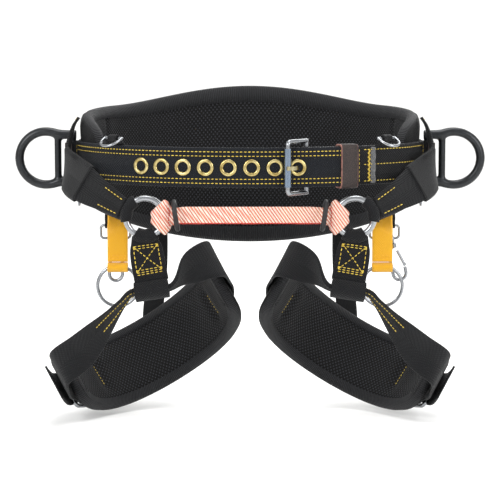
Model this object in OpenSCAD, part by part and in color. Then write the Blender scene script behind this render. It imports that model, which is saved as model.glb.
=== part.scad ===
// Tree-work safety harness: padded waist belt with side D-rings, tongue buckle,
// front rings joined by a webbing bridge, and two padded leg loops hung from them.
// Units are millimetres. +X is to the right of someone facing the buckle, -Y is the front,
// +Z is up. The origin is the middle of the waist opening at the height of the side D-rings.

/* [Waist pad] */
// Inside width of the waist pad, side to side
waist_w = 366; // [320:1:440]
// Inside depth of the waist pad, front to back
waist_d = 266; // [230:1:330]
// Top of the pad at its sides, above the origin
pad_top_side = 57; // [45:1:80]
// How much higher the pad stands at the middle of the back
pad_top_rise = 19; // [0:1:40]
// Bottom of the pad at its front ends, below the origin
pad_low_side = 50; // [40:1:60]
// How much lower the pad reaches at the middle of the back
pad_low_drop = 60; // [20:1:70]
// Angle from the middle of the back to each front end of the pad
pad_half_angle = 116; // [104:1:124]

/* [Padding layers] */
// Thickness of the mesh lining
lining_t = 3; // [2:0.5:5]
// Thickness of the foam core
foam_t = 9; // [6:0.5:14]
// Thickness of the outer cover cloth
cover_t = 1.6; // [1:0.1:3]
// Thickness of the edge binding tape
tape_t = 1.2; // [0.8:0.1:2]
// Width of the edge binding tape on each face of a pad
tape_w = 9; // [6:0.5:12]

/* [Webbing] */
// Width of the load-bearing webbing
web_w = 44; // [38:1:50]
// Thickness of one layer of load-bearing webbing
web_t = 2.6; // [2:0.1:3.5]
// Width of the narrow webbing of the hangers, tabs and rear straps
tab_w = 25; // [20:1:32]
// Thickness of the narrow webbing
tab_t = 1.8; // [1.2:0.1:2.5]

/* [Front belt] */
// Distance between neighbouring eyelets of the billet
hole_pitch = 25.4; // [24:0.1:30]
// Number of eyelets
hole_count = 8; // [3:1:8]
// Radius of the hole through an eyelet
eyelet_r = 5.4; // [4.5:0.1:6.5]
// Outer radius of an eyelet flange
eyelet_flange_r = 9.4; // [8.5:0.1:11]
// Angle at which the buckle's eyelet sits, seen from above
buckle_angle = 285; // [280:1:290]
// Diameter of the buckle's front bar and arms
buckle_wire = 5; // [4:0.5:6]
// Length of the buckle frame, bar to bar
buckle_len = 30; // [28:0.5:36]
// Width of the sliding leather keeper
keeper_w = 20; // [14:1:26]

/* [Side D-rings] */
// Diameter of the forged bar of a D-ring
dring_bar = 10.5; // [8:0.5:12]
// Radius of the round end, to the middle of the bar
dring_r = 31; // [29:0.5:36]
// Distance between the middles of the two straight legs
dring_legs = 55; // [53:0.5:57]
// Distance from the pivot bar to the middle of the round end
dring_reach = 31; // [30:0.5:38]
// Diameter of the two cross bars
dring_cross = 8.5; // [7:0.5:9]
// Distance between the two cross bars
dring_gap = 17; // [16:0.5:19]

/* [Front rings and bridge] */
// Distance between the middles of the two front rings
rings_apart = 232; // [220:1:250]
// Depth of the front rings ahead of the origin
rings_front = 135; // [130:1:142]
// Height of the front rings below the origin
rings_low = 56; // [50:1:62]
// Radius of a front ring, to the middle of its wire
ring_r = 21; // [20:0.5:24]
// Diameter of a front ring's wire
ring_wire = 7; // [6:0.5:8]
// Height of the bridge webbing
bridge_w = 20; // [16:1:22]
// Thickness of the bridge webbing
bridge_t = 6; // [4:0.5:8]
// Outer diameter of the rubber rings on the bridge
rubber_od = 36; // [34:1:40]

/* [Leg loops] */
// Half the width of a leg pad
leg_pad_half = 43; // [38:1:46]
// Half length of the loop from outer to inner thigh, sideways
leg_side = 83; // [72:1:84]
// Half rise of the loop from outer to inner thigh
leg_rise = 50; // [42:1:56]
// Half depth of the loop, front to back
leg_depth = 95; // [90:1:102]
// Half drop of the loop, front to back
leg_drop = 36; // [30:1:42]

/* [Small rings and hooks] */
// Outer radius of the rings on the yellow tabs
oring_r = 27; // [24:0.5:30]
// Diameter of their wire
oring_wire = 4.4; // [3.5:0.1:5.5]
// Radius of the gear rings, to the middle of their wire
gear_r = 12.5; // [11:0.5:14]
// Diameter of the gear rings' wire
gear_wire = 3; // [2.4:0.1:3.6]
// Diameter of the snap hooks' wire
snap_wire = 4.4; // [3.5:0.1:5]

/* [Hidden] */
$fn = 48;

// Clearance between layers that are sewn face to face
ply_gap = 0.1;
// Clearance between a metal part and the webbing loop that carries it
loop_gap = 0.5;
// Clearance between soft parts that lie against each other
soft_gap = 0.4;
// Power of the pads' rounded outline: 2 is an ellipse, more is squarer
pad_square = 4;
web_black = "#1b1c1f";
cloth_black = "#222326";
steel = "#c9ccd0";
forged_black = "#26282b";

// Layers of a pad, counted outward from its inner face
foam_in = lining_t + ply_gap;
cover_in = foam_in + foam_t + ply_gap;
pad_t = cover_in + cover_t;

// Layers outside the waist pad, counted from the pad's inner face
belt_in = pad_t + 0.3;
belt_out = belt_in + web_t;
over_tape = pad_t + tape_t + soft_gap;
plate_in = belt_out + ply_gap;
plate_out = plate_in + web_t;
dring_pivot_r = dring_cross / 2;
d_loop_r = dring_pivot_r + loop_gap;
dring_off = plate_out + ply_gap + d_loop_r;
dring_x = waist_w / 2 + dring_off;

// Front belt: the billet lies in front of the buckle strap
billet_t = 3.6;
buckle_strap_t = 5;
billet_in = belt_out + soft_gap;
billet_out = billet_in + billet_t;
buckle_strap_in = billet_in - soft_gap - buckle_strap_t;

// ---------- numbers and curves ----------

function unit(v) = v / norm(v);
// Half width of a squarish outline at a point given by an angle along it
function pad_side(u) = pow(1 - pow(abs(cos(u)), pad_square), 1 / pad_square);
function bell(t) = abs(t) < 1 ? (1 + cos(180 * t)) / 2 : 0;

// A point of the waist oval, a distance off outside the pad's inner face
function oval(a, off) = [(waist_w / 2 + off) * cos(a), (waist_d / 2 + off) * sin(a)];
function oval_way(a, off) = unit([-(waist_w / 2 + off) * sin(a), (waist_d / 2 + off) * cos(a)]);
// Length of the oval's arc per degree at angle a
function arc_speed(a, off) =
    norm([(waist_w / 2 + off) * sin(a), (waist_d / 2 + off) * cos(a)]) * PI / 180;
// Angle reached after walking a distance along the oval from angle a, in short steps
function walk(a, dist, off, steps = 8) =
    steps == 0 ? a : walk(a + dist / steps / arc_speed(a, off), dist - dist / steps, off, steps - 1);
function turn_at(a, off) = atan2(oval_way(a, off)[1], oval_way(a, off)[0]);

// Rows of a smooth curve through rows of numbers, n steps to each span
function spline_row(p0, p1, p2, p3, t) =
    0.5 * (2 * p1 + (p2 - p0) * t + (2 * p0 - 5 * p1 + 4 * p2 - p3) * t * t
        + (3 * p1 - p0 - 3 * p2 + p3) * t * t * t);
function smooth(rows, n) = [
    for (i = [0 : len(rows) - 2])
        let (
            p1 = rows[i],
            p2 = rows[i + 1],
            p0 = i > 0 ? rows[i - 1] : 2 * p1 - p2,
            p3 = i < len(rows) - 2 ? rows[i + 2] : 2 * p2 - p1
        )
        for (j = [0 : (i == len(rows) - 2 ? n : n - 1)]) spline_row(p0, p1, p2, p3, j / n)
];

// ---------- building blocks ----------

// Closed surface through rings of points; each ring runs anticlockwise seen from ahead
module skin(rings, closed = false) {
    n = len(rings);
    m = len(rings[0]);
    sides = [
        for (i = [0 : n - (closed ? 1 : 2)])
            for (j = [0 : m - 1])
                let (
                    a = i * m + j,
                    b = i * m + (j + 1) % m,
                    c = (i + 1) % n * m + (j + 1) % m,
                    d = (i + 1) % n * m + j
                )
                each [[a, c, b], [a, d, c]]
    ];
    caps = closed ? [] : [[for (j = [0 : m - 1]) j], [for (j = [m - 1 : -1 : 0]) (n - 1) * m + j]];
    polyhedron([for (r = rings) each r], concat(sides, caps), convexity = 8);
}

// Flat strap along rows of [x, y, z, width way x, y, z, width, thickness]
module strap(rows, n = 6) {
    k = smooth(rows, n);
    last = len(k) - 1;
    point = function(i) [k[i][0], k[i][1], k[i][2]];
    skin([
        for (i = [0 : last])
            let (
                way = unit(point(min(i + 1, last)) - point(max(i - 1, 0))),
                wide = [k[i][3], k[i][4], k[i][5]],
                across = unit(wide - (wide * way) * way),
                up = cross(way, across),
                w = across * k[i][6] / 2,
                t = up * k[i][7] / 2,
                p = point(i)
            )
            [p - w - t, p + w - t, p + w + t, p - w + t]
    ]);
}

// Band of cloth that follows the waist oval between two angles
module oval_band(off0, off1, a0, a1, w, step = 4) {
    n = ceil(abs(a1 - a0) / step);
    translate([0, 0, -w / 2])
        linear_extrude(w)
            polygon([
                for (i = [0 : n]) oval(a0 + (a1 - a0) * i / n, off1),
                for (i = [n : -1 : 0]) oval(a0 + (a1 - a0) * i / n, off0)
            ]);
}

// One layer of a pad; place(c, s, off) puts a point of the unit outline in space
module pad_layer(place, off0, off1, keep, step = 4) {
    skin([
        for (u = [step / 2 : step : 180 - step / 2])
            let (c = -cos(u), s = pad_side(u) * keep)
            [place(c, -s, off0), place(c, s, off0), place(c, s, off1), place(c, -s, off1)]
    ]);
}

// Binding tape folded over the whole edge of a pad of the given half length and half height
module pad_binding(place, half_len, half_high, step = 4) {
    lip = 0.3;
    section = [
        [-tape_w, -tape_t], [tape_t, -tape_t], [tape_t, pad_t + tape_t], [-tape_w, pad_t + tape_t],
        [-tape_w, pad_t + lip], [lip, pad_t + lip], [lip, -lip], [-tape_w, -lip]
    ];
    skin([
        for (u = [step / 2 : step : 360 - step / 2])
            [
                for (p = section)
                    place(-cos(u) * (1 + p[0] / half_len),
                        sign(sin(u)) * pad_side(u) * (1 + p[0] / half_high), p[1])
            ]
    ], closed = true);
}

// Torus in the XY plane, or a part of it; a sleeve if hollow is above 0
module torus(r, wire, a0 = 0, a1 = 360, hollow = 0) {
    rotate([0, 0, a0])
        rotate_extrude(angle = a1 - a0)
            translate([r, 0])
                difference() {
                    circle(d = wire);
                    if (hollow > 0) circle(d = hollow);
                }
}

// Round bar between two points
module bar(p, q, d) {
    v = q - p;
    translate(p)
        rotate([0, acos(v[2] / norm(v)), atan2(v[1], v[0])])
            cylinder(h = norm(v), d = d);
}

// Rectangular wire link in the XZ plane, centred, with round corners
module wire_link(w, h, wire, corner) {
    for (sx = [-1, 1]) {
        bar([sx * w / 2, 0, -h / 2 + corner], [sx * w / 2, 0, h / 2 - corner], wire);
        bar([-w / 2 + corner, 0, sx * h / 2], [w / 2 - corner, 0, sx * h / 2], wire);
        for (sz = [-1, 1])
            translate([sx * (w / 2 - corner), 0, sz * (h / 2 - corner)])
                rotate([90, 0, 0])
                    torus(corner, wire, atan2(sz, sx) - 45, atan2(sz, sx) + 45);
    }
}

// Everything with two sides is modelled on the left and mirrored to the right
module sided(side) {
    if (side == "left") children();
    else mirror([1, 0, 0]) children();
}

// ---------- waist pad ----------

function pad_top(c) = pad_top_side + pad_top_rise * bell(c / 0.5);
function pad_low(c) = -pad_low_side - pad_low_drop * bell(c / 0.95);
waist_place = function(c, s, off)
    let (
        a = 90 + pad_half_angle * c,
        p = oval(a, off),
        mid = (pad_top(c) + pad_low(c)) / 2,
        half = (pad_top(c) - pad_low(c)) / 2
    )
    [p[0], p[1], mid + half * s];
waist_keep = 1 - 0.4 / pad_top_side;

module waist_pad_cover() {
    color(cloth_black) pad_layer(waist_place, cover_in, pad_t, waist_keep, 3);
}

module waist_pad_foam() {
    color("#5a5c60") pad_layer(waist_place, foam_in, foam_in + foam_t, waist_keep, 3);
}

module waist_pad_lining() {
    color("#2b2c30") pad_layer(waist_place, 0, lining_t, waist_keep, 3);
}

module waist_pad_binding() {
    color(web_black) pad_binding(waist_place, 370, (pad_top_side + pad_low_side) / 2, 3);
}

// ---------- belt ----------

belt_end_angle = 12;
module support_belt() {
    color(web_black) oval_band(belt_in, belt_out, -belt_end_angle, 180 + belt_end_angle, web_w);
}

// Angles of the eyelets, walking left from the buckle
function hole_angle(i) = walk(buckle_angle, -hole_pitch * i, billet_in + billet_t / 2, 12);
billet_start = 180 + belt_end_angle + 0.1;
billet_tip = walk(buckle_angle, 72, billet_in);

module at_oval(a, off, z = 0) {
    translate([oval(a, off)[0], oval(a, off)[1], z])
        rotate([0, 0, turn_at(a, off)])
            children();
}

module billet_strap() {
    color(web_black)
        difference() {
            oval_band(billet_in, billet_out, billet_start, billet_tip, web_w, 3);
            for (i = [0 : hole_count - 1])
                at_oval(hole_angle(i), billet_in + billet_t / 2)
                    rotate([90, 0, 0])
                        cylinder(h = 3 * billet_t, r = eyelet_r + 1.2, center = true);
        }
}

eyelet_lip = 1.1;
module eyelet() {
    barrel = billet_t + 2 * (ply_gap + 0.25);
    rotate([90, 0, 0])
        difference() {
            union() {
                cylinder(h = barrel + 2 * eyelet_lip, r = eyelet_r + 1, center = true);
                for (s = [-1, 1])
                    translate([0, 0, s * (barrel + eyelet_lip) / 2])
                        cylinder(h = eyelet_lip, r = eyelet_flange_r, center = true);
            }
            cylinder(h = 4 * billet_t, r = eyelet_r, center = true);
        }
}

module eyelets() {
    color("#d9b44a")
        for (i = [0 : hole_count - 1])
            at_oval(hole_angle(i), billet_in + billet_t / 2) eyelet();
}

// ---------- buckle: local frame has +X along the belt to the right and +Y inward ----------

heel_r = 2.5;
tongue_d = 3.6;
heel_x = 12;
heel_eye_r = heel_r + loop_gap;
eyelet_half = billet_t / 2 + ply_gap + 0.25 + eyelet_lip;
heel_y = eyelet_half + 0.4 + heel_eye_r + web_t;
roller_r = buckle_wire / 2 + 1.4;
front_y = -(eyelet_half + 0.5 + roller_r);
front_x = heel_x - sqrt(buckle_len * buckle_len - pow(heel_y - front_y, 2));
frame_tilt = atan2(heel_y - front_y, heel_x - front_x);
buckle_h = web_w + 8 + buckle_wire;

module at_buckle() {
    at_oval(buckle_angle, billet_in + billet_t / 2) children();
}

// Frame of the buckle itself: +X along its arms, from the front bar to the heel bar
module at_buckle_frame() {
    at_buckle()
        translate([(front_x + heel_x) / 2, (front_y + heel_y) / 2, 0])
            rotate([0, 0, frame_tilt])
                children();
}

module buckle_frame() {
    corner = buckle_wire * 0.9;
    x0 = -buckle_len / 2;
    color(steel)
        at_buckle_frame() {
            bar([x0, 0, -buckle_h / 2 + corner], [x0, 0, buckle_h / 2 - corner], buckle_wire);
            for (s = [-1, 1]) {
                translate([x0 + corner, 0, s * (buckle_h / 2 - corner)])
                    rotate([90, 0, 0])
                        torus(corner, buckle_wire, s < 0 ? 180 : 90, s < 0 ? 270 : 180);
                bar([x0 + corner, 0, s * buckle_h / 2], [-x0, 0, s * buckle_h / 2], buckle_wire);
                translate([-x0, 0, s * buckle_h / 2]) sphere(d = buckle_wire);
            }
            bar([-x0, 0, -buckle_h / 2], [-x0, 0, buckle_h / 2], 2 * heel_r);
        }
}

module buckle_roller() {
    color("#aab4c4")
        at_buckle_frame()
            translate([-buckle_len / 2, 0, 0])
                difference() {
                    cylinder(h = web_w - 2, r = roller_r, center = true);
                    cylinder(h = 2 * web_w, r = buckle_wire / 2 + 0.05, center = true);
                }
}

// The tongue turns on the heel bar, comes out through an eyelet and rests on the roller
tongue_slot = 9;
module buckle_tongue() {
    hub_r = heel_r + 0.05;
    path = smooth([
        [heel_x, heel_y],
        [2.3, eyelet_half + 1.6],
        [-5.5, front_y - roller_r - 1],
        [front_x - 2.5, front_y - roller_r - tongue_d / 2 - 1.2]
    ], 4);
    last = len(path) - 1;
    edge = function(i, s)
        let (way = unit(path[min(i + 1, last)] - path[max(i - 1, 0)]))
        path[i] + s * tongue_d / 2 * [-way[1], way[0]];
    color("#d8d2b8")
        at_buckle()
            difference() {
                union() {
                    translate([heel_x, heel_y, 0])
                        cylinder(h = tongue_slot - 1.5, r = hub_r + 1.5, center = true);
                    linear_extrude(tongue_d + 0.6, center = true)
                        polygon([
                            for (i = [0 : last]) edge(i, 1),
                            for (i = [last : -1 : 0]) edge(i, -1)
                        ]);
                }
                translate([heel_x, heel_y, 0])
                    cylinder(h = 3 * tongue_slot, r = hub_r, center = true);
            }
}

// The buckle strap lies behind the billet and dips inward to carry the heel bar
module buckle_strap() {
    eye_at = walk(buckle_angle, heel_x, billet_in);
    mid_off = billet_in + billet_t / 2;
    dip = mid_off - heel_y - (buckle_strap_in + buckle_strap_t / 2);
    first = walk(eye_at, heel_eye_r + web_t / 2, billet_in);
    last = 360 - belt_end_angle - 0.1;
    over_pad = last - 17;
    n = 26;
    edge = function(i, out)
        let (a = first + (last - first) * i / n)
        oval(a, buckle_strap_in + out + dip * bell((a - eye_at) / 11)
            + (over_tape - buckle_strap_in) * (a > over_pad ? 1 : bell((over_pad - a) / 12)));
    color(web_black)
        difference() {
            union() {
                translate([0, 0, -web_w / 2])
                    linear_extrude(web_w)
                        polygon([
                            for (i = [0 : n]) edge(i, buckle_strap_t),
                            for (i = [n : -1 : 0]) edge(i, 0)
                        ]);
                at_buckle()
                    translate([heel_x, heel_y, 0])
                        rotate(90) cylinder(h = web_w, r = heel_eye_r + web_t, center = true);
            }
            at_buckle()
                translate([heel_x, heel_y, 0]) {
                    rotate(90) cylinder(h = 2 * web_w, r = heel_eye_r, center = true);
                    translate([-9, 0, 0]) cube([30, 4 * buckle_strap_t, tongue_slot], center = true);
                }
        }
}

keeper_dist = 59;
keeper_wall = 1.8;
module leather_keeper() {
    mid = walk(buckle_angle, keeper_dist, billet_in);
    half = keeper_w / 2 / arc_speed(mid, billet_in);
    inner = buckle_strap_in - 1.2;
    outer = billet_out + soft_gap;
    color("#4a3f3c")
        difference() {
            oval_band(inner - keeper_wall, outer + keeper_wall, mid - half, mid + half,
                web_w + 2 * (soft_gap + keeper_wall), 2);
            oval_band(inner, outer, mid - 2 * half, mid + 2 * half, web_w + 2 * soft_gap, 2);
        }
}

// ---------- side D-rings ----------

module d_loop() {
    color(web_black)
        difference() {
            union() {
                oval_band(plate_in, plate_out, 180 - belt_end_angle, 180 + belt_end_angle,
                    web_w - 3, 3);
                translate([-dring_x, 0, 0])
                    cylinder(h = web_w - 3, r = d_loop_r + web_t, center = true);
            }
            translate([-dring_x, 0, 0]) cylinder(h = 2 * web_w, r = d_loop_r, center = true);
            oval_band(0, plate_in, 150, 210, 2 * web_w);
        }
}

// Leather sleeves that save the webbing loops from wear
sleeve_t = 1.5;
module d_sleeves() {
    r = d_loop_r + web_t + ply_gap;
    color("#4b423f")
        for (s = ["left", "right"])
            sided(s)
                translate([-dring_x, 0, 0])
                    difference() {
                        cylinder(h = web_w - 8, r = r + sleeve_t, center = true);
                        cylinder(h = 2 * web_w, r = r, center = true);
                        translate([r, 0, 0]) cube([2 * r, 4 * r, 2 * web_w], center = true);
                    }
}

module d_ring() {
    leg_z = dring_legs / 2;
    turn = asin(leg_z / dring_r);
    shoulder_x = -dring_reach + dring_r * cos(turn);
    color(forged_black)
        translate([-dring_x, 0, 0]) {
            translate([-dring_reach, 0, 0])
                rotate([90, 0, 0])
                    torus(dring_r, dring_bar, turn, 360 - turn);
            for (s = [-1, 1])
                bar([shoulder_x - 6.5, 0, s * leg_z], [dring_bar * 0.45, 0, s * leg_z], dring_bar);
            for (x = [0, -dring_gap]) bar([x, 0, -leg_z], [x, 0, leg_z], dring_cross);
        }
}

// ---------- front rings, hip straps and bridge ----------

ring_at = [-rings_apart / 2, -rings_front, -rings_low];
ring_loop_in = ring_wire + 2 * loop_gap;
ring_loop_out = ring_loop_in + 2 * web_t;

module at_ring() {
    translate(ring_at) rotate([90, 0, 0]) children();
}

module front_ring() {
    color(steel) at_ring() torus(ring_r, ring_wire);
}

// Rows for the strap from the pad's top corner, past the D-ring and down to the front ring
hip_x = -(waist_w / 2 + pad_t + tape_t);
hip_rows = [
    [hip_x + 1, -30, 49, 0, 1, 0, 24, web_t],
    [hip_x - 5, -31, 39, 0, 1, 0, 26, web_t],
    [hip_x - 10, -36, 20, 0, 1, -0.3, 30, web_t],
    [hip_x - 11, -48, 0, -0.1, 0.6, -0.8, 40, web_t],
    [hip_x - 5, -68, -13, -0.25, -0.1, -0.95, web_w - 2, web_t],
    [hip_x + 13, -93, -24, -0.4, -0.15, -0.9, 41, web_t],
    [hip_x + 35, -117, -35, -0.38, 0, -0.93, 32, web_t],
    [ring_at[0] - 25, ring_at[1] + 0, ring_at[2] + 10, -0.4, 0, -0.92, 24, 4]
];

module hip_strap() {
    color(web_black) {
        strap(hip_rows, 12);
        at_ring() torus(ring_r, ring_loop_out, 125, 187, ring_loop_in);
    }
}

// Elastic keeper round the hip strap, wrapped from corner to corner of the strap's section
module hip_keeper() {
    rows = smooth(hip_rows, 12);
    wall = 1.2;
    gap = 0.8;
    corner = function(i, a, b, grow)
        let (
            k = rows[i],
            way = unit([for (j = [0 : 2]) rows[i + 1][j] - rows[i - 1][j]]),
            wide = [k[3], k[4], k[5]],
            across = unit(wide - (wide * way) * way),
            up = cross(way, across)
        )
        [k[0], k[1], k[2]] + across * a * (k[6] / 2 + grow) + up * b * (k[7] / 2 + grow);
    color("#2a2c30")
        skin([
            for (c = [[-1, -1], [1, -1], [1, 1], [-1, 1]])
                [
                    for (i = [36 : 58]) corner(i, c[0], c[1], gap + wall),
                    for (i = [58 : -1 : 36]) corner(i, c[0], c[1], gap)
                ]
        ], closed = true);
}

// The bridge is folded round each front ring and narrows to flat webbing between the rubber rings
bridge_neck = ring_r + 7.5;
bridge_fold = 4;
bridge_up = 4;
module bridge() {
    color("#e0766a")
        translate([0, ring_at[1], ring_at[2]]) {
            for (s = ["left", "right"])
                sided(s)
                    translate([ring_at[0], 0, 0])
                        difference() {
                            union() {
                                rotate([90, 0, 0])
                                    torus(ring_r, ring_loop_in + 2 * bridge_fold, -40, 40);
                                translate([ring_r - 1, -bridge_t / 2 - 1, -10])
                                    cube([8.5, bridge_t + 2, 24]);
                            }
                            rotate([90, 0, 0]) torus(ring_r, ring_loop_in);
                        }
            translate([0, 0, bridge_up - 2])
                cube([rings_apart - 2 * bridge_neck + 1, bridge_t, bridge_w], center = true);
        }
}

rubber_wire = 5.6;
module rubber_ring() {
    color("#17181a")
        translate([ring_at[0] + bridge_neck + 5.5, ring_at[1], ring_at[2] + bridge_up - 2])
            rotate([0, 82, 0])
                torus((rubber_od - rubber_wire) / 2, rubber_wire);
}

// ---------- gear rings on the belt's top edge and on the hips ----------

gear_angle = 223;
gear_lean = 60;
gear_z = web_w / 2 + 8;
gear_bore = gear_wire / 2 + 0.4;
gear_off = billet_out + 0.3 + tab_t + gear_bore;
gear_eye = 13;

// Small D-ring hanging down from its straight side, which lies along X
module small_dring() {
    for (s = [-1, 1]) {
        translate([s * gear_r, 0, 0]) sphere(d = gear_wire);
        bar([s * gear_r, 0, 0], [s * gear_r, 0, -4], gear_wire);
    }
    bar([-gear_r, 0, 0], [gear_r, 0, 0], gear_wire);
    translate([0, 0, -4]) rotate([90, 0, 0]) torus(gear_r, gear_wire, 180, 360);
}

// Loop of tape round the straight side, sewn down on a patch below it
module small_dring_tab(drop, w = 17) {
    difference() {
        union() {
            rotate([0, 90, 0]) cylinder(h = gear_eye, r = gear_bore + tab_t, center = true);
            translate([-w / 2, gear_bore, -drop]) cube([w, tab_t, drop]);
        }
        rotate([0, 90, 0]) cylinder(h = 2 * gear_eye + w, r = gear_bore, center = true);
    }
}

// Local frame of the ring: its pivot is at the origin, with +Y toward the belt
module at_gear() {
    at_oval(gear_angle, gear_off, gear_z) children();
}

module gear_ring() {
    color(steel) at_gear() rotate([-gear_lean, 0, 0]) small_dring();
}

module gear_tab() {
    at_gear() small_dring_tab(gear_z + 8);
}

module gear_tabs() {
    color(web_black)
        for (s = ["left", "right"]) sided(s) gear_tab();
}

side_ring_at = [-(waist_w / 2 + pad_t + 4.4), 14, -40];
module at_side_ring() {
    translate(side_ring_at) rotate([0, 0, -88]) children();
}

module side_ring() {
    color(steel) at_side_ring() small_dring();
}

module side_tabs() {
    color(web_black)
        for (s = ["left", "right"])
            sided(s)
                at_side_ring() mirror([0, 0, 1]) small_dring_tab(16);
}

// ---------- yellow tabs, links and snap hooks at the back of the hips ----------

tab_x = -162;
tab_y = 98;
tab_top = -100;
tab_low = -147;
link_w = 36;
link_h = 16;
link_wire = 3.2;
link_x = -165;
link_y = tab_y + 10;
link_top = -90;

module hanger() {
    r = link_wire / 2 + 0.5;
    color(web_black)
        difference() {
            union() {
                translate([link_x, link_y, link_top])
                    rotate([0, 90, 0])
                        cylinder(h = link_w - 10, r = r + tab_t, center = true);
                strap([
                    [-165.6, 89.6, -36, 0.7, 0.714, 0, tab_w, tab_t],
                    [-165.7, 93.4, -62, 0.74, 0.67, 0, tab_w, tab_t],
                    [-165.5, 98.6, -77, 0.93, 0.35, 0, tab_w, tab_t],
                    [link_x, link_y - 1.2, link_top + r + 1, 1, 0, 0, link_w - 10, tab_t]
                ]);
            }
            translate([link_x, link_y, link_top])
                rotate([0, 90, 0]) cylinder(h = 2 * link_w, r = r, center = true);
        }
}

fold_in = oring_wire + 4.4;
fold_out = fold_in + 2 * tab_t;
module yellow_tab() {
    color("#f2b52c")
        difference() {
            union() {
                translate([tab_x, tab_y, tab_low + fold_out / 2])
                    rotate([0, 90, 0]) cylinder(h = tab_w, d = fold_out, center = true);
                strap([
                    [-164, 87.3, -6, 0.687, 0.727, 0, tab_w, tab_t],
                    [-164, 87.8, -36, 0.7, 0.714, 0, tab_w, tab_t],
                    [-163.5, 90.6, -66, 0.72, 0.69, 0, tab_w, tab_t],
                    [-162.5, 93.6, -84, 0.85, 0.53, 0, tab_w, tab_t],
                    [tab_x, tab_y, tab_top, 1, 0, 0, tab_w, 2 * tab_t + 0.4],
                    [tab_x, tab_y, tab_low + fold_out - 1, 1, 0, 0, tab_w, 2 * tab_t + 0.4]
                ]);
            }
            translate([tab_x, tab_y, tab_low + fold_out / 2])
                rotate([0, 90, 0]) cylinder(h = 2 * tab_w, d = fold_in, center = true);
        }
}

// The ring's wire dips across the width of its tab, so its top stands above the fold's middle
tab_ring_mid = oring_r - oring_wire / 2;
tab_ring_dip = tab_ring_mid - sqrt(tab_ring_mid * tab_ring_mid - tab_w * tab_w / 4);
module tab_ring() {
    color(steel)
        translate([tab_x, tab_y, tab_low + fold_out / 2 + tab_ring_dip / 2 - tab_ring_mid])
            rotate([90, 0, 0])
                torus(tab_ring_mid, oring_wire);
}

module link() {
    color(steel)
        translate([link_x, link_y, link_top - link_h / 2])
            wire_link(link_w, link_h, link_wire, 4);
}

// Snap hook: a long wire hook whose eye hangs on the link's lower bar
snap_eye_r = 4.6;
snap_r = 8;
snap_len = 38;
// Where each hook hangs on its link and how far it leans outward
function snap_dx(side) = side == "left" ? 0 : 10;
function snap_lean(side) = side == "left" ? 0 : 12;
snap_top = link_top - link_h - 0.9;

module at_snap(side) {
    translate([link_x - snap_dx(side), link_y, snap_top])
        rotate([0, snap_lean(side), 0])
            children();
}

gate_low = -snap_eye_r - snap_len + 9;
module snap_hook(side) {
    spine_z = -snap_eye_r - 1;
    color(steel)
        at_snap(side) {
            rotate([0, 0, 90]) rotate([90, 0, 0]) torus(snap_eye_r, snap_wire * 0.8);
            translate([0, 0, spine_z - 3]) cylinder(h = 5, d = snap_wire * 1.4, center = true);
            bar([0, 0, spine_z - 3], [snap_r, 0, spine_z - 9], snap_wire);
            translate([snap_r, 0, spine_z - 9]) sphere(d = snap_wire);
            bar([snap_r, 0, spine_z - 9], [snap_r, 0, spine_z - snap_len], snap_wire);
            translate([0, 0, spine_z - snap_len]) rotate([90, 0, 0]) torus(snap_r, snap_wire, 180, 360);
            bar([-snap_r, 0, spine_z - snap_len], [-snap_r, 0, gate_low - 3.2], snap_wire);
        }
}

module snap_gate(side) {
    gate_top = -snap_eye_r - 9.5;
    color("#b9bcc0")
        at_snap(side) {
            bar([-snap_r, 0, gate_low], [-2.6, 0, gate_top - 1], snap_wire * 0.8);
            translate([-snap_r, 0, gate_low])
                rotate([90, 0, 0]) cylinder(h = snap_wire, d = snap_wire, center = true);
        }
}

// ---------- leg loops ----------

leg_mid = [-121, -35, -200];
leg_long = [leg_side, 0, leg_rise];
leg_short = [8, leg_depth, -leg_drop];
leg_across = unit(cross(leg_long, leg_short));
leg_span = 91;
leg_span_mid = 86;

function leg_way(t) = unit(-leg_long * sin(t) + leg_short * cos(t));
function leg_out(t) = unit(cross(leg_way(t), leg_across));
// Point of the leg loop: t is the angle round it, w the way up across the pad, off outward
function leg_at(t, w, off) =
    leg_mid + leg_long * cos(t) + leg_short * sin(t) + leg_across * w + leg_out(t) * off;
leg_place = function(c, s, off)
    leg_at(leg_span_mid + leg_span * c, leg_pad_half * s, off);
leg_keep = 1 - 0.6 / leg_pad_half;

module leg_cover() {
    color(cloth_black) pad_layer(leg_place, cover_in, pad_t, leg_keep);
}

module leg_foam() {
    color("#5a5c60") pad_layer(leg_place, foam_in, foam_in + foam_t, leg_keep);
}

module leg_lining() {
    color("#2b2c30") pad_layer(leg_place, 0, lining_t, leg_keep);
}

module leg_binding() {
    color(web_black) pad_binding(leg_place, 160, leg_pad_half, 4);
}

// Riser: joins the front ring to the leg strap, with a loop at each end
riser_low = -137;
riser_tilt = 9;
riser_eye = 17;
riser_top_out = ring_wire + 4 + 2 * web_t;
riser_at = [ring_at[0] + 7, ring_at[1] - 1, riser_low];
module riser() {
    plate_t = 2 * web_t;
    top = ring_at[2] - ring_r - riser_top_out / 2 + 2;
    color(web_black) {
        at_ring() torus(ring_r, riser_top_out, 236, 304, riser_top_out - 2 * web_t);
        strap([
            [ring_at[0], ring_at[1], top, 1, 0, 0, 26, plate_t],
            [ring_at[0] + 1, ring_at[1] - 0.3, top - 8, 1, 0, 0, 36, plate_t],
            [ring_at[0] + 3, ring_at[1] - 0.6, top - 22, 1, 0, 0.05, web_w - 6, plate_t],
            [riser_at[0], riser_at[1], riser_low + riser_eye / 2 + 1, 1, 0, 0.15, web_w - 6, plate_t]
        ]);
        translate(riser_at)
            rotate([0, 90 - riser_tilt, 0])
                difference() {
                    cylinder(h = web_w - 6, d = riser_eye + 2 * web_t, center = true);
                    cylinder(h = 2 * web_w, d = riser_eye, center = true);
                }
    }
}

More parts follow.
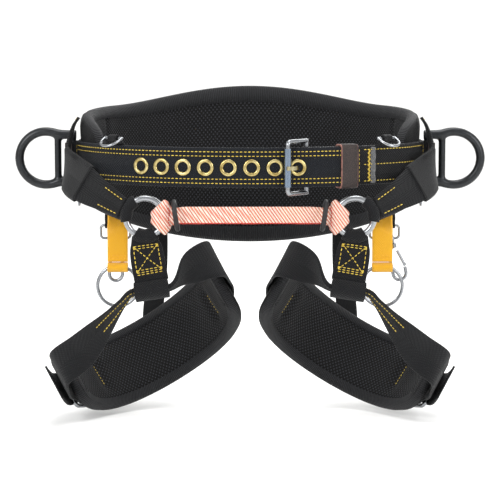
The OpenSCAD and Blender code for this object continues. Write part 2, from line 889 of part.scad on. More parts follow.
strap_off = pad_t + tape_t + 0.8 + web_t / 2;
buckle_t0 = 158;
buckle_step = 8;
leg_buckle_wire = 5;
buckle_off = strap_off + web_t / 2 + soft_gap + leg_buckle_wire / 2 + 0.4;
tail_off = buckle_off + leg_buckle_wire / 2 + soft_gap + web_t / 2 + 1.5;

// A row of the leg strap that lies on the loop, up from the pad's middle line
function on_loop(t, off, up = 0) =
    [for (v = [leg_at(t, up, off), -leg_across, [web_w, web_t]]) each v];

// A row where the strap is bunched in the riser's eye, a distance along the eye's axis
function riser_row(x, w, t) =
    [for (v = [riser_at + x * [cos(riser_tilt), 0, sin(riser_tilt)], [-0.1, 0.8, -0.5], [w, t]]) each v];

module leg_strap() {
    t1 = buckle_t0 + buckle_step;
    color(web_black)
        strap([
            on_loop(38, strap_off, 8),
            on_loop(20, strap_off, 12),
            on_loop(7, strap_off, 15),
            on_loop(-6, strap_off, 17),
            [-41, -95, -107, 0.4, -0.25, -0.88, web_w, web_t],
            [-68, -119, -116, 0.15, 0.1, -1, 36, web_t],
            riser_row(22, 14, 5),
            riser_row(0, 14.4, 6),
            riser_row(-22, 14, 5),
            [-143, -130, -153, 0, 0.8, -0.6, 17, 3.4],
            [-164, -116, -179, 0.2, 0.5, -0.7, 26, web_t],
            [-191, -95, -212, 0.45, 0, -0.8, 40, web_t],
            on_loop(205, strap_off + 1, 3),
            on_loop(193, strap_off, 0),
            on_loop(181, strap_off, -1),
            on_loop(t1 + 3, strap_off),
            on_loop(t1 - 1.5, strap_off + 0.2),
            on_loop(t1 - 5.2, (strap_off + tail_off) / 2 + 0.4),
            on_loop(t1 - 2.4, tail_off - 0.2),
            on_loop(t1 + 3, tail_off),
            on_loop(179, tail_off - 2),
            on_loop(186, tail_off - 2, 1)
        ], 5);
}

// Three-bar slide buckle on the outer thigh, its bars across the strap
module leg_buckle() {
    at = leg_at(buckle_t0, 0, buckle_off);
    way = leg_way(buckle_t0);
    out = leg_out(buckle_t0);
    reach = buckle_step / 360 * 2 * PI * norm([leg_side, leg_rise]) * 0.93;
    width = web_w + 8;
    color(steel)
        multmatrix([for (i = [0 : 2]) [leg_across[i], out[i], way[i], at[i]]]) {
            wire_link(width, 2 * reach, leg_buckle_wire, 5);
            bar([-width / 2, 0, 0], [width / 2, 0, 0], leg_buckle_wire - 1);
        }
}

// Elastic strap from the back of the belt to the leg pad
module rear_strap() {
    color("#232427")
        strap([
            [-113.5, 124.9, -16, 0.889, 0.4575, 0, tab_w, tab_t],
            [-113.5, 124.6, -56, 0.889, 0.4575, 0, tab_w, tab_t],
            [-113.5, 124.4, -96, 0.9, 0.43, 0, tab_w, tab_t],
            [-114, 110, -142, 0.9, 0.3, 0.1, tab_w, tab_t],
            [for (v = [leg_at(84, leg_pad_half - 3, strap_off), [0.8, 0.1, 0.6], [tab_w, tab_t]]) each v],
            [for (v = [leg_at(84, leg_pad_half - 16, strap_off), [0.8, 0.1, 0.6], [tab_w, tab_t]]) each v]
        ]);
}

waist_pad_cover();
waist_pad_foam();
waist_pad_lining();
waist_pad_binding();
support_belt();
billet_strap();
eyelets();
buckle_strap();
buckle_frame();
buckle_roller();
buckle_tongue();
d_sleeves();
leather_keeper();
bridge();
gear_tabs();
side_tabs();
for (side = ["left", "right"]) {
    sided(side) d_loop();
    sided(side) d_ring();
    sided(side) hip_strap();
    sided(side) hip_keeper();
    sided(side) front_ring();
    sided(side) rubber_ring();
    sided(side) gear_ring();
    sided(side) side_ring();
    sided(side) hanger();
    sided(side) yellow_tab();
    sided(side) tab_ring();
    sided(side) link();
    sided(side) snap_hook(side);
    sided(side) snap_gate(side);
    sided(side) riser();
    sided(side) leg_strap();
    sided(side) leg_cover();
    sided(side) leg_foam();
    sided(side) leg_lining();
    sided(side) leg_binding();
    sided(side) leg_buckle();
    sided(side) rear_strap();
}
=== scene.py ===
import math

import bmesh
import bpy
import numpy as np
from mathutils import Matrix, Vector


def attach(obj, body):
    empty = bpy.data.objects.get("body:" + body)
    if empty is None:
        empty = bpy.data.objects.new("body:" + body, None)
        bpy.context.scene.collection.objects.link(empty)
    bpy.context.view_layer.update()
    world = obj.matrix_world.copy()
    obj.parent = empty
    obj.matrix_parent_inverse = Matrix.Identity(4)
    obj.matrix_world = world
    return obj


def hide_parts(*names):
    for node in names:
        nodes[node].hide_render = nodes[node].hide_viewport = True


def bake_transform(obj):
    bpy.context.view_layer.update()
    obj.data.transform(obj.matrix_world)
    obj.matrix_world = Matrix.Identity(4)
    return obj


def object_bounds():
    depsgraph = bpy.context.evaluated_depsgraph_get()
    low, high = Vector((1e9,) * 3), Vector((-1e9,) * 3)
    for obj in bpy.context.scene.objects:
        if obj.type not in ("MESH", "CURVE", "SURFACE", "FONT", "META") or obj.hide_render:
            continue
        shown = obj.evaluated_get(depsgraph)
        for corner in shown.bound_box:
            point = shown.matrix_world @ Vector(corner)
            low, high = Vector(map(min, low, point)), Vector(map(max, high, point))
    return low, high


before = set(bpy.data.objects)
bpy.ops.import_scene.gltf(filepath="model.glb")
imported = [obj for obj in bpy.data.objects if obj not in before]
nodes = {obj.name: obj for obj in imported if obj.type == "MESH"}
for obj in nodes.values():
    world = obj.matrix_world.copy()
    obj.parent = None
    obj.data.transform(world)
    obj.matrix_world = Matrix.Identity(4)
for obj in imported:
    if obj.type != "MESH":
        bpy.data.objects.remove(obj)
cad_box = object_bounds()

# ---------------------------------------------------------------- camera, light and floor
# A studio set: a long lens at the height of the belt looks at the buckle, large soft lamps
# stand on both sides and above, and the pale floor sweeps up behind into a backdrop.
MM = 0.001
aim = Vector((0, 0, -0.107))
camera_distance = 2.35
camera_elevation = math.radians(6.6)
camera = bpy.data.objects.new("camera", bpy.data.cameras.new("camera"))
camera.data.lens = 144
camera.data.sensor_width = 36
camera.location = aim + camera_distance * Vector((0, -math.cos(camera_elevation), math.sin(camera_elevation)))
camera.rotation_euler = (math.radians(90) - camera_elevation, 0, 0)
bpy.context.scene.collection.objects.link(camera)
bpy.context.scene.camera = camera


def linear(hex_colour):
    """An sRGB hex colour as the linear values that a shader takes."""
    out = []
    for i in (1, 3, 5):
        c = int(hex_colour[i:i + 2], 16) / 255
        out.append(c / 12.92 if c <= 0.04045 else ((c + 0.055) / 1.055) ** 2.4)
    return (*out, 1.0)


def softbox(name, place, power, size):
    lamp = bpy.data.objects.new(name, bpy.data.lights.new(name, "AREA"))
    lamp.data.energy = power
    lamp.data.size = size
    lamp.location = place
    lamp.rotation_euler = (aim - Vector(place)).to_track_quat("-Z", "Y").to_euler()
    bpy.context.scene.collection.objects.link(lamp)


softbox("lamp_left", (-1.5, -1.9, 1.1), 34, 1.1)
softbox("lamp_right", (1.7, -1.6, 0.8), 24, 1.1)
softbox("lamp_top", (0.1, 0.1, 1.9), 30, 1.4)
softbox("lamp_back", (0.9, 1.6, 0.9), 16, 1.0)

world = bpy.data.worlds.new("studio")
world.use_nodes = True
world.node_tree.nodes["Background"].inputs["Color"].default_value = (1, 1, 1, 1)
world.node_tree.nodes["Background"].inputs["Strength"].default_value = 0.86
bpy.context.scene.world = world
bpy.context.scene.view_settings.view_transform = "Standard"


def add(tree, kind, settings=None, links=None):
    """Adds a shader node, sets its properties or input values and links its inputs."""
    node = tree.nodes.new("ShaderNode" + kind)
    for key, value in (settings or {}).items():
        if isinstance(key, str) and hasattr(node, key):
            setattr(node, key, value)
        else:
            node.inputs[key].default_value = value
    for key, source in (links or {}).items():
        tree.links.new(source, node.inputs[key])
    return node


def surface(name, colour, roughness, metallic=0.0, ior=1.5, **more):
    """A material whose one shader has these constants; returns it, its tree and its shader."""
    material = bpy.data.materials.new(name)
    material.use_nodes = True
    tree = material.node_tree
    shader = tree.nodes["Principled BSDF"]
    shader.inputs["Base Color"].default_value = linear(colour)
    shader.inputs["Roughness"].default_value = roughness
    shader.inputs["Metallic"].default_value = metallic
    shader.inputs["IOR"].default_value = ior
    for key, value in more.items():
        shader.inputs[key.replace("_", " ")].default_value = value
    return material, tree, shader


def loft(name, rings, along=None, across=None, closed=False, caps=True):
    """Mesh through rings of points in millimetres, with its texture lengths in metres."""
    rings = np.asarray(rings, float)
    n, m = rings.shape[:2]
    along = np.arange(n + 1.0) if along is None else np.asarray(along, float)
    across = np.arange(m + 1.0) if across is None else np.asarray(across, float)
    faces, places = [], []
    for i in range(n if closed else n - 1):
        k = (i + 1) % n
        for j in range(m):
            l = (j + 1) % m
            faces.append((i * m + j, i * m + l, k * m + l, k * m + j))
            places += [(along[i], across[j]), (along[i], across[j + 1]),
                       (along[i + 1], across[j + 1]), (along[i + 1], across[j])]
    if caps and not closed:
        for i in (0, n - 1):
            faces.append([i * m + j for j in range(m)])
            places += [(along[i], across[j]) for j in range(m)]
    mesh = bpy.data.meshes.new(name)
    mesh.from_pydata((rings.reshape(-1, 3) * MM).tolist(), [], faces)
    layer = mesh.uv_layers.new(name="lengths")
    layer.data.foreach_set("uv", (np.array(places) * MM).ravel())
    grown = bmesh.new()
    grown.from_mesh(mesh)
    bmesh.ops.recalc_face_normals(grown, faces=grown.faces)
    grown.to_mesh(mesh)
    grown.free()
    mesh.shade_smooth()
    piece = bpy.data.objects.new(name, mesh)
    bpy.context.scene.collection.objects.link(piece)
    return piece


def finish_piece(piece, body, material, stands_for=()):
    """Gives a piece its material, the body it moves with and the nodes it stands for."""
    piece.data.materials.clear()
    piece.data.materials.append(material)
    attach(piece, body)
    if stands_for:
        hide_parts(*stands_for)
    return piece


backdrop_turn = np.radians(np.linspace(0, 90, 13))
sweep = zip(2.2 + 1.2 * np.sin(backdrop_turn), 1.2 - 1.2 * np.cos(backdrop_turn))
profile = [(-4.0, 0.0), *sweep, (3.4, 4.5)]
floor_z = cad_box[0].z - 0.002
floor = loft("floor", [[(x, y * 1000, floor_z * 1000 + z * 1000) for y, z in profile] for x in (-5000, 5000)],
             caps=False)
whole = bmesh.new()
whole.from_mesh(floor.data)
closing = [f for f in whole.faces if np.ptp([v.co.z for v in f.verts]) > 4]  # joins the sweep's two ends
bmesh.ops.delete(whole, geom=closing, context="FACES")
whole.to_mesh(floor.data)
whole.free()
paper, tree, shader = surface("seamless_paper", "#f7f7f6", 0.9)
floor.data.materials.append(paper)

# ---------------------------------------------------------------- waist pad
# A wide, shaped pad: foam between a woven nylon cover and an air-mesh lining that faces the
# wearer. The layers are cut together, squeezed at the edge and bound with ribbed tape.
WAIST_HALF = (183.0, 133.0)
PAD_THICK = 13.8
PAD_SPAN = 116.0
EDGE_HALF = 5.2  # half the thickness of a pad where its tape squeezes it


def unit(v):
    v = np.asarray(v, float)
    return v / np.linalg.norm(v, axis=-1, keepdims=True)


def oval(angle, off):
    a = np.radians(angle)
    return np.stack([(WAIST_HALF[0] + off) * np.cos(a), (WAIST_HALF[1] + off) * np.sin(a)], -1)


def oval_way(angle, off):
    a = np.radians(angle)
    return unit(np.stack([-(WAIST_HALF[0] + off) * np.sin(a), (WAIST_HALF[1] + off) * np.cos(a)], -1))


def bell(t):
    return np.where(np.abs(t) < 1, (1 + np.cos(np.pi * t)) / 2, 0)


def waist_place(c, s, off):
    top = 57 + 19 * bell(c / 0.5)
    low = -50 - 60 * bell(c / 0.95)
    flat = oval(90 + PAD_SPAN * c, off)
    return np.stack([flat[..., 0], flat[..., 1], (top + low) / 2 + (top - low) / 2 * s], -1)


def pad_outline(u):
    """Half height of a pad's squarish outline, as a share, at an angle along its length."""
    return (1 - np.abs(np.cos(np.radians(u))) ** 4) ** 0.25


def pad_skin(name, place, half_len, half_high, inner, outer, steps=150, rows=26):
    """A pad layer between two offsets, each given as a function of place on the pad."""
    rings, along = [], []
    for u in np.linspace(1.2, 178.8, steps):
        c = np.full(rows, -math.cos(math.radians(u)))
        s = np.linspace(-1, 1, rows) * pad_outline(u) * 0.985
        edge = np.minimum(half_high * (1 - np.abs(s) / pad_outline(u)), half_len * (1 - np.abs(c)) * 1.6)
        out_side = place(c, s, outer(c, s, edge))
        in_side = place(c, s, inner(c, s, edge))
        rings.append(np.concatenate([out_side, in_side[::-1]]))
        along.append(half_len * -math.cos(math.radians(u)))
    up = np.linspace(-half_high, half_high, rows)
    across = np.concatenate([up, up[::-1], [-half_high]])
    return loft(name, rings, along + along[-1:], across)


def squeeze(edge, full, reach=11.0):
    """How far a pad face stands from its middle: full thickness inside, less under the tape."""
    t = np.clip(edge / reach, 0, 1)
    return EDGE_HALF + (full - EDGE_HALF) * np.sqrt(1 - (1 - t) ** 2)


def waist_outer(c, s, edge):
    z = waist_place(c, s, 0)[..., 2]
    free = 1 - bell(z / 42)  # the belt lies over the middle and holds it down
    return PAD_THICK / 2 - 1 + squeeze(edge, PAD_THICK / 2 + 0.6) + 1.6 * free * np.clip(edge / 20, 0, 1)


def waist_inner(c, s, edge):
    return PAD_THICK / 2 - 1 - squeeze(edge, PAD_THICK / 2 - 3.9)


def waist_lining(c, s, edge):
    puff = 2.4 * np.clip((edge - 8) / 20, 0, 1) ** 0.6
    channel = 2.6 * np.exp(-((np.abs(c) - 0.6) / 0.012) ** 2) * np.clip(edge / 14, 0, 1)
    ripple = 0.5 * np.sin(c * 31 + s * 2.2) * np.sin(s * 3.1 + c * 5) * np.clip(edge / 20, 0, 1)
    return PAD_THICK / 2 - 1 - squeeze(edge, PAD_THICK / 2 - 1) - puff + channel + ripple


def waist_lining_back(c, s, edge):
    return waist_lining(c, s, edge) + 2.2


def texture_lengths(tree):
    """The surface's own lengths in metres: along the piece and across it."""
    split = add(tree, "SeparateXYZ", links={0: add(tree, "UVMap", {"uv_map": "lengths"}).outputs[0]})
    return split.outputs[0], split.outputs[1]


def waves(tree, along, across, pitch_along, pitch_across):
    """Sine ridges from a slanted mix of the two lengths; the pitches are in millimetres."""
    a = add(tree, "Math", {"operation": "MULTIPLY", 1: 2000 * math.pi / pitch_along}, {0: along})
    if pitch_across is None:
        return add(tree, "Math", {"operation": "SINE"}, {0: a.outputs[0]}).outputs[0]
    b = add(tree, "Math", {"operation": "MULTIPLY", 1: 2000 * math.pi / pitch_across}, {0: across})
    both = add(tree, "Math", {"operation": "ADD"}, {0: a.outputs[0], 1: b.outputs[0]})
    return add(tree, "Math", {"operation": "SINE"}, {0: both.outputs[0]}).outputs[0]


def blotches(tree, scale, detail=3.0):
    """Soft, uneven patches in the object's own space, for wear, lint and dye, and on the metals for patches
    of painted reflection.
    """
    place = add(tree, "TexCoord").outputs["Object"]
    return add(tree, "TexNoise", {"Scale": scale, "Detail": detail}, {"Vector": place}).outputs["Fac"]


def shades(tree, factor, low, high, at=(0.3, 0.7)):
    """A colour ramp between two hex colours."""
    ramp = add(tree, "ValToRGB", links={0: factor})
    for element, where, colour in zip(ramp.color_ramp.elements, at, (low, high)):
        element.position = where
        element.color = linear(colour)
    return ramp.outputs[0]


def raised(tree, shader, height, depth_mm, strength=1.0):
    """Bump of a real depth on the shader's normal."""
    bump = add(tree, "Bump", {"Strength": strength, "Distance": depth_mm * MM}, {"Height": height})
    tree.links.new(bump.outputs[0], shader.inputs["Normal"])


def mixed(tree, factor, first, second):
    """Two colours mixed by a factor."""
    mix = add(tree, "Mix", {"data_type": "RGBA"})
    tree.links.new(factor, mix.inputs[0])
    tree.links.new(first, mix.inputs[6])
    tree.links.new(second, mix.inputs[7])
    return mix.outputs[2]


def dyed(tree, shader, colour):
    """Links a colour to the shader's base colour."""
    tree.links.new(colour, shader.inputs["Base Color"])


def two_tone(tree, shader, scale, factor, first, second, at=(0.3, 0.7)):
    """Base colour by a pattern, in two pairs of colours that trade places in soft patches."""
    dyed(tree, shader, mixed(tree, blotches(tree, scale), shades(tree, factor, *first, at),
                             shades(tree, factor, *second, at)))


def combined(tree, operation, first, second):
    """One number from two, by an operation of the maths node."""
    node = add(tree, "Math", {"operation": operation})
    for i, value in enumerate((first, second)):
        if isinstance(value, (int, float)):
            node.inputs[i].default_value = value
        else:
            tree.links.new(value, node.inputs[i])
    return node.outputs[0]


# Woven nylon: a plain basket weave that shines a little along its ridges.
nylon_cover, tree, shader = surface("woven_nylon_cover", "#0c0c0d", 0.8, Specular_IOR_Level=0.22,
                                    Sheen_Weight=0.04, Sheen_Roughness=0.5)
u, v = texture_lengths(tree)
basket = combined(tree, "MULTIPLY", waves(tree, u, v, 2.2, None), waves(tree, v, u, 2.2, None))
two_tone(tree, shader, 60, basket, ("#060607", "#101113"), ("#09090a", "#161719"))
raised(tree, shader, basket, 0.25)

# Knitted air mesh: open holes between raised yarn knots over a dark ground, drawn 5 mm apart so that
# they show.
air_mesh, tree, shader = surface("knitted_air_mesh", "#101012", 0.85, Specular_IOR_Level=0.2,
                                 Sheen_Weight=0.04, Sheen_Roughness=0.6)
u, v = texture_lengths(tree)
knots = combined(tree, "MULTIPLY", waves(tree, u, v, 5.0, None), waves(tree, v, u, 5.4, None))
fine = combined(tree, "MULTIPLY", waves(tree, v, u, 1.7, 60), 0.25)
two_tone(tree, shader, 26, knots, ("#020202", "#26272a"), ("#040404", "#323338"), at=(0.25, 0.75))
raised(tree, shader, combined(tree, "ADD", knots, fine), 0.5)

# Grosgrain tape: fine cross ribs, drawn 2.4 mm apart so that they show.
grosgrain_tape, tree, shader = surface("ribbed_polyester_tape", "#0c0c0d", 0.72, Specular_IOR_Level=0.3,
                                       Sheen_Weight=0.05, Sheen_Roughness=0.4)
u, v = texture_lengths(tree)
ribs = waves(tree, u, v, 2.4, None)
two_tone(tree, shader, 40, ribs, ("#0a0a0b", "#1b1c1f"), ("#0f0f11", "#26272b"))
raised(tree, shader, ribs, 0.3)


def binding_tape(name, place, half_len, half_high, steps=260):
    """Tape folded round the squeezed edge of a pad, all the way round its outline."""
    mid = PAD_THICK / 2 - 1
    fold = [(-9.4, -EDGE_HALF - 1.2), (-9.0, -EDGE_HALF - 2.5), (-4, -EDGE_HALF - 2.0),
            (-0.5, -EDGE_HALF - 0.3),
            (1.5, -2.6), (2.1, 0), (1.5, 2.6), (-0.5, EDGE_HALF + 0.3), (-4, EDGE_HALF + 1.3),
            (-8.2, EDGE_HALF + 1.5), (-8.6, EDGE_HALF + 0.9), (-9.0, 0)]
    turn = np.linspace(0, 360, steps, endpoint=False) + 0.7
    rings = []
    for t in turn:
        c, s = -math.cos(math.radians(t)), math.copysign(pad_outline(t), math.sin(math.radians(t)))
        pucker = 0.35 * math.sin(t * 1.7) + 0.25 * math.sin(t * 0.61)
        rings.append([place(np.array(c * (1 + r / half_len)), np.array(s * (1 + r / half_high)),
                            mid + off * (1 + 0.04 * pucker)) for r, off in fold])
    rings = np.array(rings)
    steps_long = np.linalg.norm(np.diff(rings[:, 5], axis=0, append=rings[:1, 5]), axis=1)
    across = np.concatenate([np.linspace(0, 26, len(fold)), [0]])
    return loft(name, rings, np.concatenate([[0], np.cumsum(steps_long)]), across, closed=True)


waist_len, waist_high = 370.0, 80.0
waist_tape_high = 53.5  # half the height of the pad at its front ends, which the tape follows
waist_cover = pad_skin("waist_pad_outer", waist_place, waist_len, waist_high, waist_inner, waist_outer, 190)
finish_piece(waist_cover, "belt", nylon_cover, ["waist_pad_cover", "waist_pad_foam"])
waist_mesh = pad_skin("waist_pad_mesh", waist_place, waist_len, waist_high, waist_lining,
                      waist_lining_back, 240, 30)
finish_piece(waist_mesh, "belt", air_mesh, ["waist_pad_lining"])
waist_tape = binding_tape("waist_pad_tape", waist_place, waist_len, waist_tape_high, 380)
finish_piece(waist_tape, "belt", grosgrain_tape, ["waist_pad_binding"])

# ---------------------------------------------------------------- webbing belt
# Polyester webbing 44 mm wide runs round the back of the pad, and a two-ply billet with eight
# eyelets comes round the front to the buckle. Yellow thread holds the plies in pairs of rows.
WEB = 44.0
WEB_THICK = 2.6
BELT_MID = 15.4
BILLET_MID, BILLET_THICK = 18.9, 3.6
BILLET_INNER = 17.1  # offset of the billet's inner face, along which places on the belt are measured
BUCKLE_ANGLE = 285.0


def walk(angle, distance, off, steps=8):
    """The angle reached after going a distance along the waist oval."""
    for left in range(steps, 0, -1):
        step = distance / left
        speed = math.hypot((WAIST_HALF[0] + off) * math.sin(math.radians(angle)),
                           (WAIST_HALF[1] + off) * math.cos(math.radians(angle))) * math.pi / 180
        angle += step / speed
        distance -= step
    return angle


def smooth_rows(rows, steps):
    """A smooth curve through rows of numbers, with some steps to each span."""
    rows = np.asarray(rows, float)
    padded = np.vstack([2 * rows[0] - rows[1], rows, 2 * rows[-1] - rows[-2]])
    out = []
    for i in range(1, len(padded) - 2):
        p0, p1, p2, p3 = padded[i - 1:i + 3]
        last = i == len(padded) - 3
        for t in np.linspace(0, 1, steps + 1)[:None if last else -1]:
            out.append(0.5 * (2 * p1 + (p2 - p0) * t + (2 * p0 - 5 * p1 + 4 * p2 - p3) * t * t
                              + (3 * p1 - p0 - 3 * p2 + p3) * t ** 3))
    return np.array(out)


class Strap:
    """A flat strap along rows of [x, y, z, width way x, y, z, width, thickness], in millimetres."""

    def __init__(self, rows, steps=6, mirrored=False):
        k = smooth_rows(rows, steps) if steps > 1 else np.asarray(rows, float)
        if mirrored:
            k = k * np.array([-1, 1, 1, -1, 1, 1, 1, 1])
        self.centre, self.width, self.thick = k[:, :3], k[:, 6], k[:, 7]
        way = unit(np.gradient(self.centre, axis=0))
        wide = k[:, 3:6]
        self.across = unit(wide - (wide * way).sum(1, keepdims=True) * way)
        self.up = np.cross(way, self.across) * (-1 if mirrored else 1)
        hops = np.linalg.norm(np.diff(self.centre, axis=0), axis=1)
        self.along = np.concatenate([[0], np.cumsum(hops)])
        self.length = self.along[-1]

    def mesh(self, name, edge=0.5, flat=9):
        """The strap as webbing with rounded selvedges; edge is the roundness of its sides."""
        rings = []
        side = np.linspace(-1, 1, flat)
        for i in range(len(self.centre)):
            half, t = self.width[i] / 2, self.thick[i] / 2
            ring = [(x * (half - t * edge), -t) for x in side]
            ring += [(half - t * edge * 0.3, -t * 0.7), (half, 0), (half - t * edge * 0.3, t * 0.7)]
            ring += [(x * (half - t * edge), t) for x in side[::-1]]
            ring += [(-half + t * edge * 0.3, t * 0.7), (-half, 0), (-half + t * edge * 0.3, -t * 0.7)]
            rings.append([self.centre[i] + a * self.across[i] + b * self.up[i] for a, b in ring])
        widest = self.width.max() / 2
        across = [x * widest for x in side] + [widest] * 3 + [x * widest for x in side[::-1]] + [-widest] * 4
        return loft(name, rings, np.append(self.along, self.length), across)

    def point(self, u, v, side, lift=0.25):
        """A point on a face of the strap: u along it, v across it, side +1 or -1."""
        at = [np.interp(u, self.along, column) for column in (*self.centre.T, *self.across.T, *self.up.T,
                                                              self.thick)]
        at = np.stack(at, -1)
        up = unit(at[..., 6:9]) * side
        v = np.asarray(v, float)[..., None]
        return at[..., 0:3] + at[..., 3:6] * v + up * (at[..., 9:10] / 2 + lift), up

    def line(self, start, stop, side):
        """A stitching line between two (u, v) places on a face."""
        start, stop = np.asarray(start, float), np.asarray(stop, float)
        n = max(3, int(np.linalg.norm(stop - start) / 1.2))
        at = start + (stop - start) * np.linspace(0, 1, n)[:, None]
        return self.point(at[:, 0], at[:, 1], side)


# Bonded yellow thread, twisted, with stitches about 3 mm long.
yellow_thread, tree, shader = surface("bonded_yellow_thread", "#d9b22c", 0.55, ior=1.55, Sheen_Weight=0.2,
                                      Sheen_Roughness=0.4)
dyed(tree, shader, shades(tree, blotches(tree, 300), "#a5861c", "#d8bd3e"))
raised(tree, shader, blotches(tree, 900), 0.1)


def sew(name, lines, body, material=None, stitch=3.0, gap=1.5, thick=0.85):
    """Thread along lines of (points, face directions): short rounded stitches in one mesh."""
    rounds, verts, faces = 6, [], []
    circle = np.linspace(0, 2 * math.pi, rounds, endpoint=False)
    shape = [(0.0, 0.35), (0.15, 0.85), (0.5, 1.0), (0.85, 0.85), (1.0, 0.35)]
    for points, ups in lines:
        hops = np.linalg.norm(np.diff(points, axis=0), axis=1)
        far = np.concatenate([[0], np.cumsum(hops)])
        count = max(1, int((far[-1] + gap) / (stitch + gap)))
        pitch = (far[-1] + gap) / count
        for k in range(count):
            u = k * pitch + np.array([s for s, _ in shape]) * (pitch - gap)
            path = np.stack([np.interp(u, far, points[:, i]) for i in range(3)], -1)
            up = unit(np.array([np.interp(u[2], far, ups[:, i]) for i in range(3)]))
            way = unit(path[-1] - path[0])
            side = np.cross(way, up)
            base = len(verts)
            for (s, fat), p in zip(shape, path):
                r = thick / 2 * fat
                sunk = (1 - fat) * 0.5
                verts += [p + side * r * 1.25 * math.cos(t) + up * (r * math.sin(t) - sunk)
                          for t in circle]
            for i in range(len(shape) - 1):
                for j in range(rounds):
                    a, b = base + i * rounds + j, base + i * rounds + (j + 1) % rounds
                    faces.append((a, b, b + rounds, a + rounds))
            faces.append([base + j for j in range(rounds)][::-1])
            faces.append([base + (len(shape) - 1) * rounds + j for j in range(rounds)])
    mesh = bpy.data.meshes.new(name)
    mesh.from_pydata((np.array(verts) * MM).tolist(), [], faces)
    grown = bmesh.new()
    grown.from_mesh(mesh)
    bmesh.ops.recalc_face_normals(grown, faces=grown.faces)
    grown.to_mesh(mesh)
    grown.free()
    mesh.shade_smooth()
    piece = bpy.data.objects.new(name, mesh)
    bpy.context.scene.collection.objects.link(piece)
    return finish_piece(piece, body, material or yellow_thread)


def webbing_finish(name, dark, light, pitch=2.8, chevron=11.0, sheen=0.05):
    """Polyester webbing: slanting twill ribs that change direction in bands across it."""
    material, tree, shader = surface(name, light, 0.66, Specular_IOR_Level=0.18, Sheen_Weight=sheen,
                                     Sheen_Roughness=0.45)
    u, v = texture_lengths(tree)
    band = combined(tree, "PINGPONG", v, chevron * MM)
    ribs = waves(tree, u, band, pitch, pitch * 1.1)
    picks = combined(tree, "MULTIPLY", waves(tree, u, v, 1.6, None), 0.35)
    height = combined(tree, "ADD", ribs, picks)
    dyed(tree, shader, mixed(tree, blotches(tree, 45), shades(tree, height, dark, light),
                                shades(tree, height, light, dark, (0.1, 0.9))))
    raised(tree, shader, height, 0.32)
    return material


black_webbing = webbing_finish("black_polyester_webbing", "#060607", "#141518")
navy_webbing = webbing_finish("blue_black_billet_webbing", "#06080b", "#12161d")


def sewn_on(piece, *stands_for, body="belt"):
    """A piece of black webbing that moves with a body and stands for CAD nodes."""
    return finish_piece(piece, body, black_webbing, stands_for)


def belt_rows(mid, thick, first, last, width=WEB, step=1.5, z=0.0):
    """Rows of a strap that follows the waist oval; mid is an offset or a function of the angle."""
    angles = np.linspace(first, last, int(abs(last - first) / step) + 2)
    offs = np.array([mid(a) if callable(mid) else mid for a in angles])
    flat = oval(angles, offs)
    n = len(angles)
    return np.column_stack([flat, np.full(n, z), np.zeros(n), np.zeros(n), np.ones(n), np.full(n, width),
                            np.full(n, thick)])


belt_end = 12.0
back_belt = Strap(belt_rows(BELT_MID, WEB_THICK, -belt_end, 180 + belt_end), 1)
sewn_on(back_belt.mesh("back_belt"), "support_belt")

billet_tip = walk(BUCKLE_ANGLE, 72, BILLET_INNER)
billet = Strap(belt_rows(BILLET_MID, BILLET_THICK, 180 + belt_end + 0.1, billet_tip), 1)
finish_piece(billet.mesh("billet"), "belt", navy_webbing, ["billet_strap"])


def outer_side(strap, at=None):
    """+1 or -1: which face of a strap looks away from the middle of the waist."""
    i = len(strap.centre) // 2 if at is None else at
    return 1 if strap.up[i][:2] @ strap.centre[i][:2] > 0 else -1


rows_in = (4.7, 9.4)  # the two rows lie this far in from each selvedge
side = outer_side(billet)
lines = [billet.line((3, s * (WEB / 2 - d)), (billet.length - 3, s * (WEB / 2 - d)), side)
         for s in (-1, 1) for d in rows_in]
side = outer_side(back_belt)
lines += [back_belt.line((6, v), (back_belt.length - 6, v), side) for v in (4 - WEB / 2, WEB / 2 - 4)]
sew("belt_stitching", lines, "belt")

# ---------------------------------------------------------------- eyelets
# Eight rolled brass eyelets, set through the billet: a domed flange on each face and a
# barrel between them. The brass is bright where it is rolled over.
polished_brass, tree, shader = surface("polished_brass", "#b5a064", 0.28, metallic=1.0)
dyed(tree, shader, shades(tree, blotches(tree, 120), "#98834a", "#cfc08a"))
raised(tree, shader, blotches(tree, 400), 0.05)
HOLE_PITCH, HOLES = 25.4, 8
EYELET_R, FLANGE_R = 5.4, 9.4


def eyelet_rings(place, way, turns=40):
    """Rings of one eyelet about its place; way is the direction along the belt."""
    half = BILLET_THICK / 2 + 0.2
    dome = [(FLANGE_R, half - 0.5), (FLANGE_R + 0.15, half + 0.1), (FLANGE_R - 0.5, half + 0.75),
            (8.0, half + 1.15), (6.8, half + 1.1), (5.9, half + 0.6), (EYELET_R, half - 0.4)]
    shape = dome + [(r, -y) for r, y in dome[::-1]]
    out = np.array([way[1], -way[0]])
    rings = []
    for t in np.linspace(0, 2 * math.pi, turns, endpoint=False):
        rings.append([(place[0] + way[0] * r * math.cos(t) + out[0] * y,
                       place[1] + way[1] * r * math.cos(t) + out[1] * y, r * math.sin(t)) for r, y in shape])
    return rings


def joined(name, pieces):
    """Several meshes as one object."""
    bpy.ops.object.select_all(action="DESELECT")
    for piece in pieces:
        piece.select_set(True)
    bpy.context.view_layer.objects.active = pieces[0]
    bpy.ops.object.join()
    pieces[0].name = name
    return pieces[0]


eyelets = []
for i in range(HOLES):
    angle = walk(BUCKLE_ANGLE, -HOLE_PITCH * i, BILLET_MID, 12)
    rings = eyelet_rings(oval(angle, BILLET_MID), oval_way(angle, BILLET_MID))
    eyelets.append(loft(f"eyelet_{i}", rings, closed=True))
finish_piece(joined("brass_eyelets", eyelets), "belt", polished_brass, ["eyelets"])

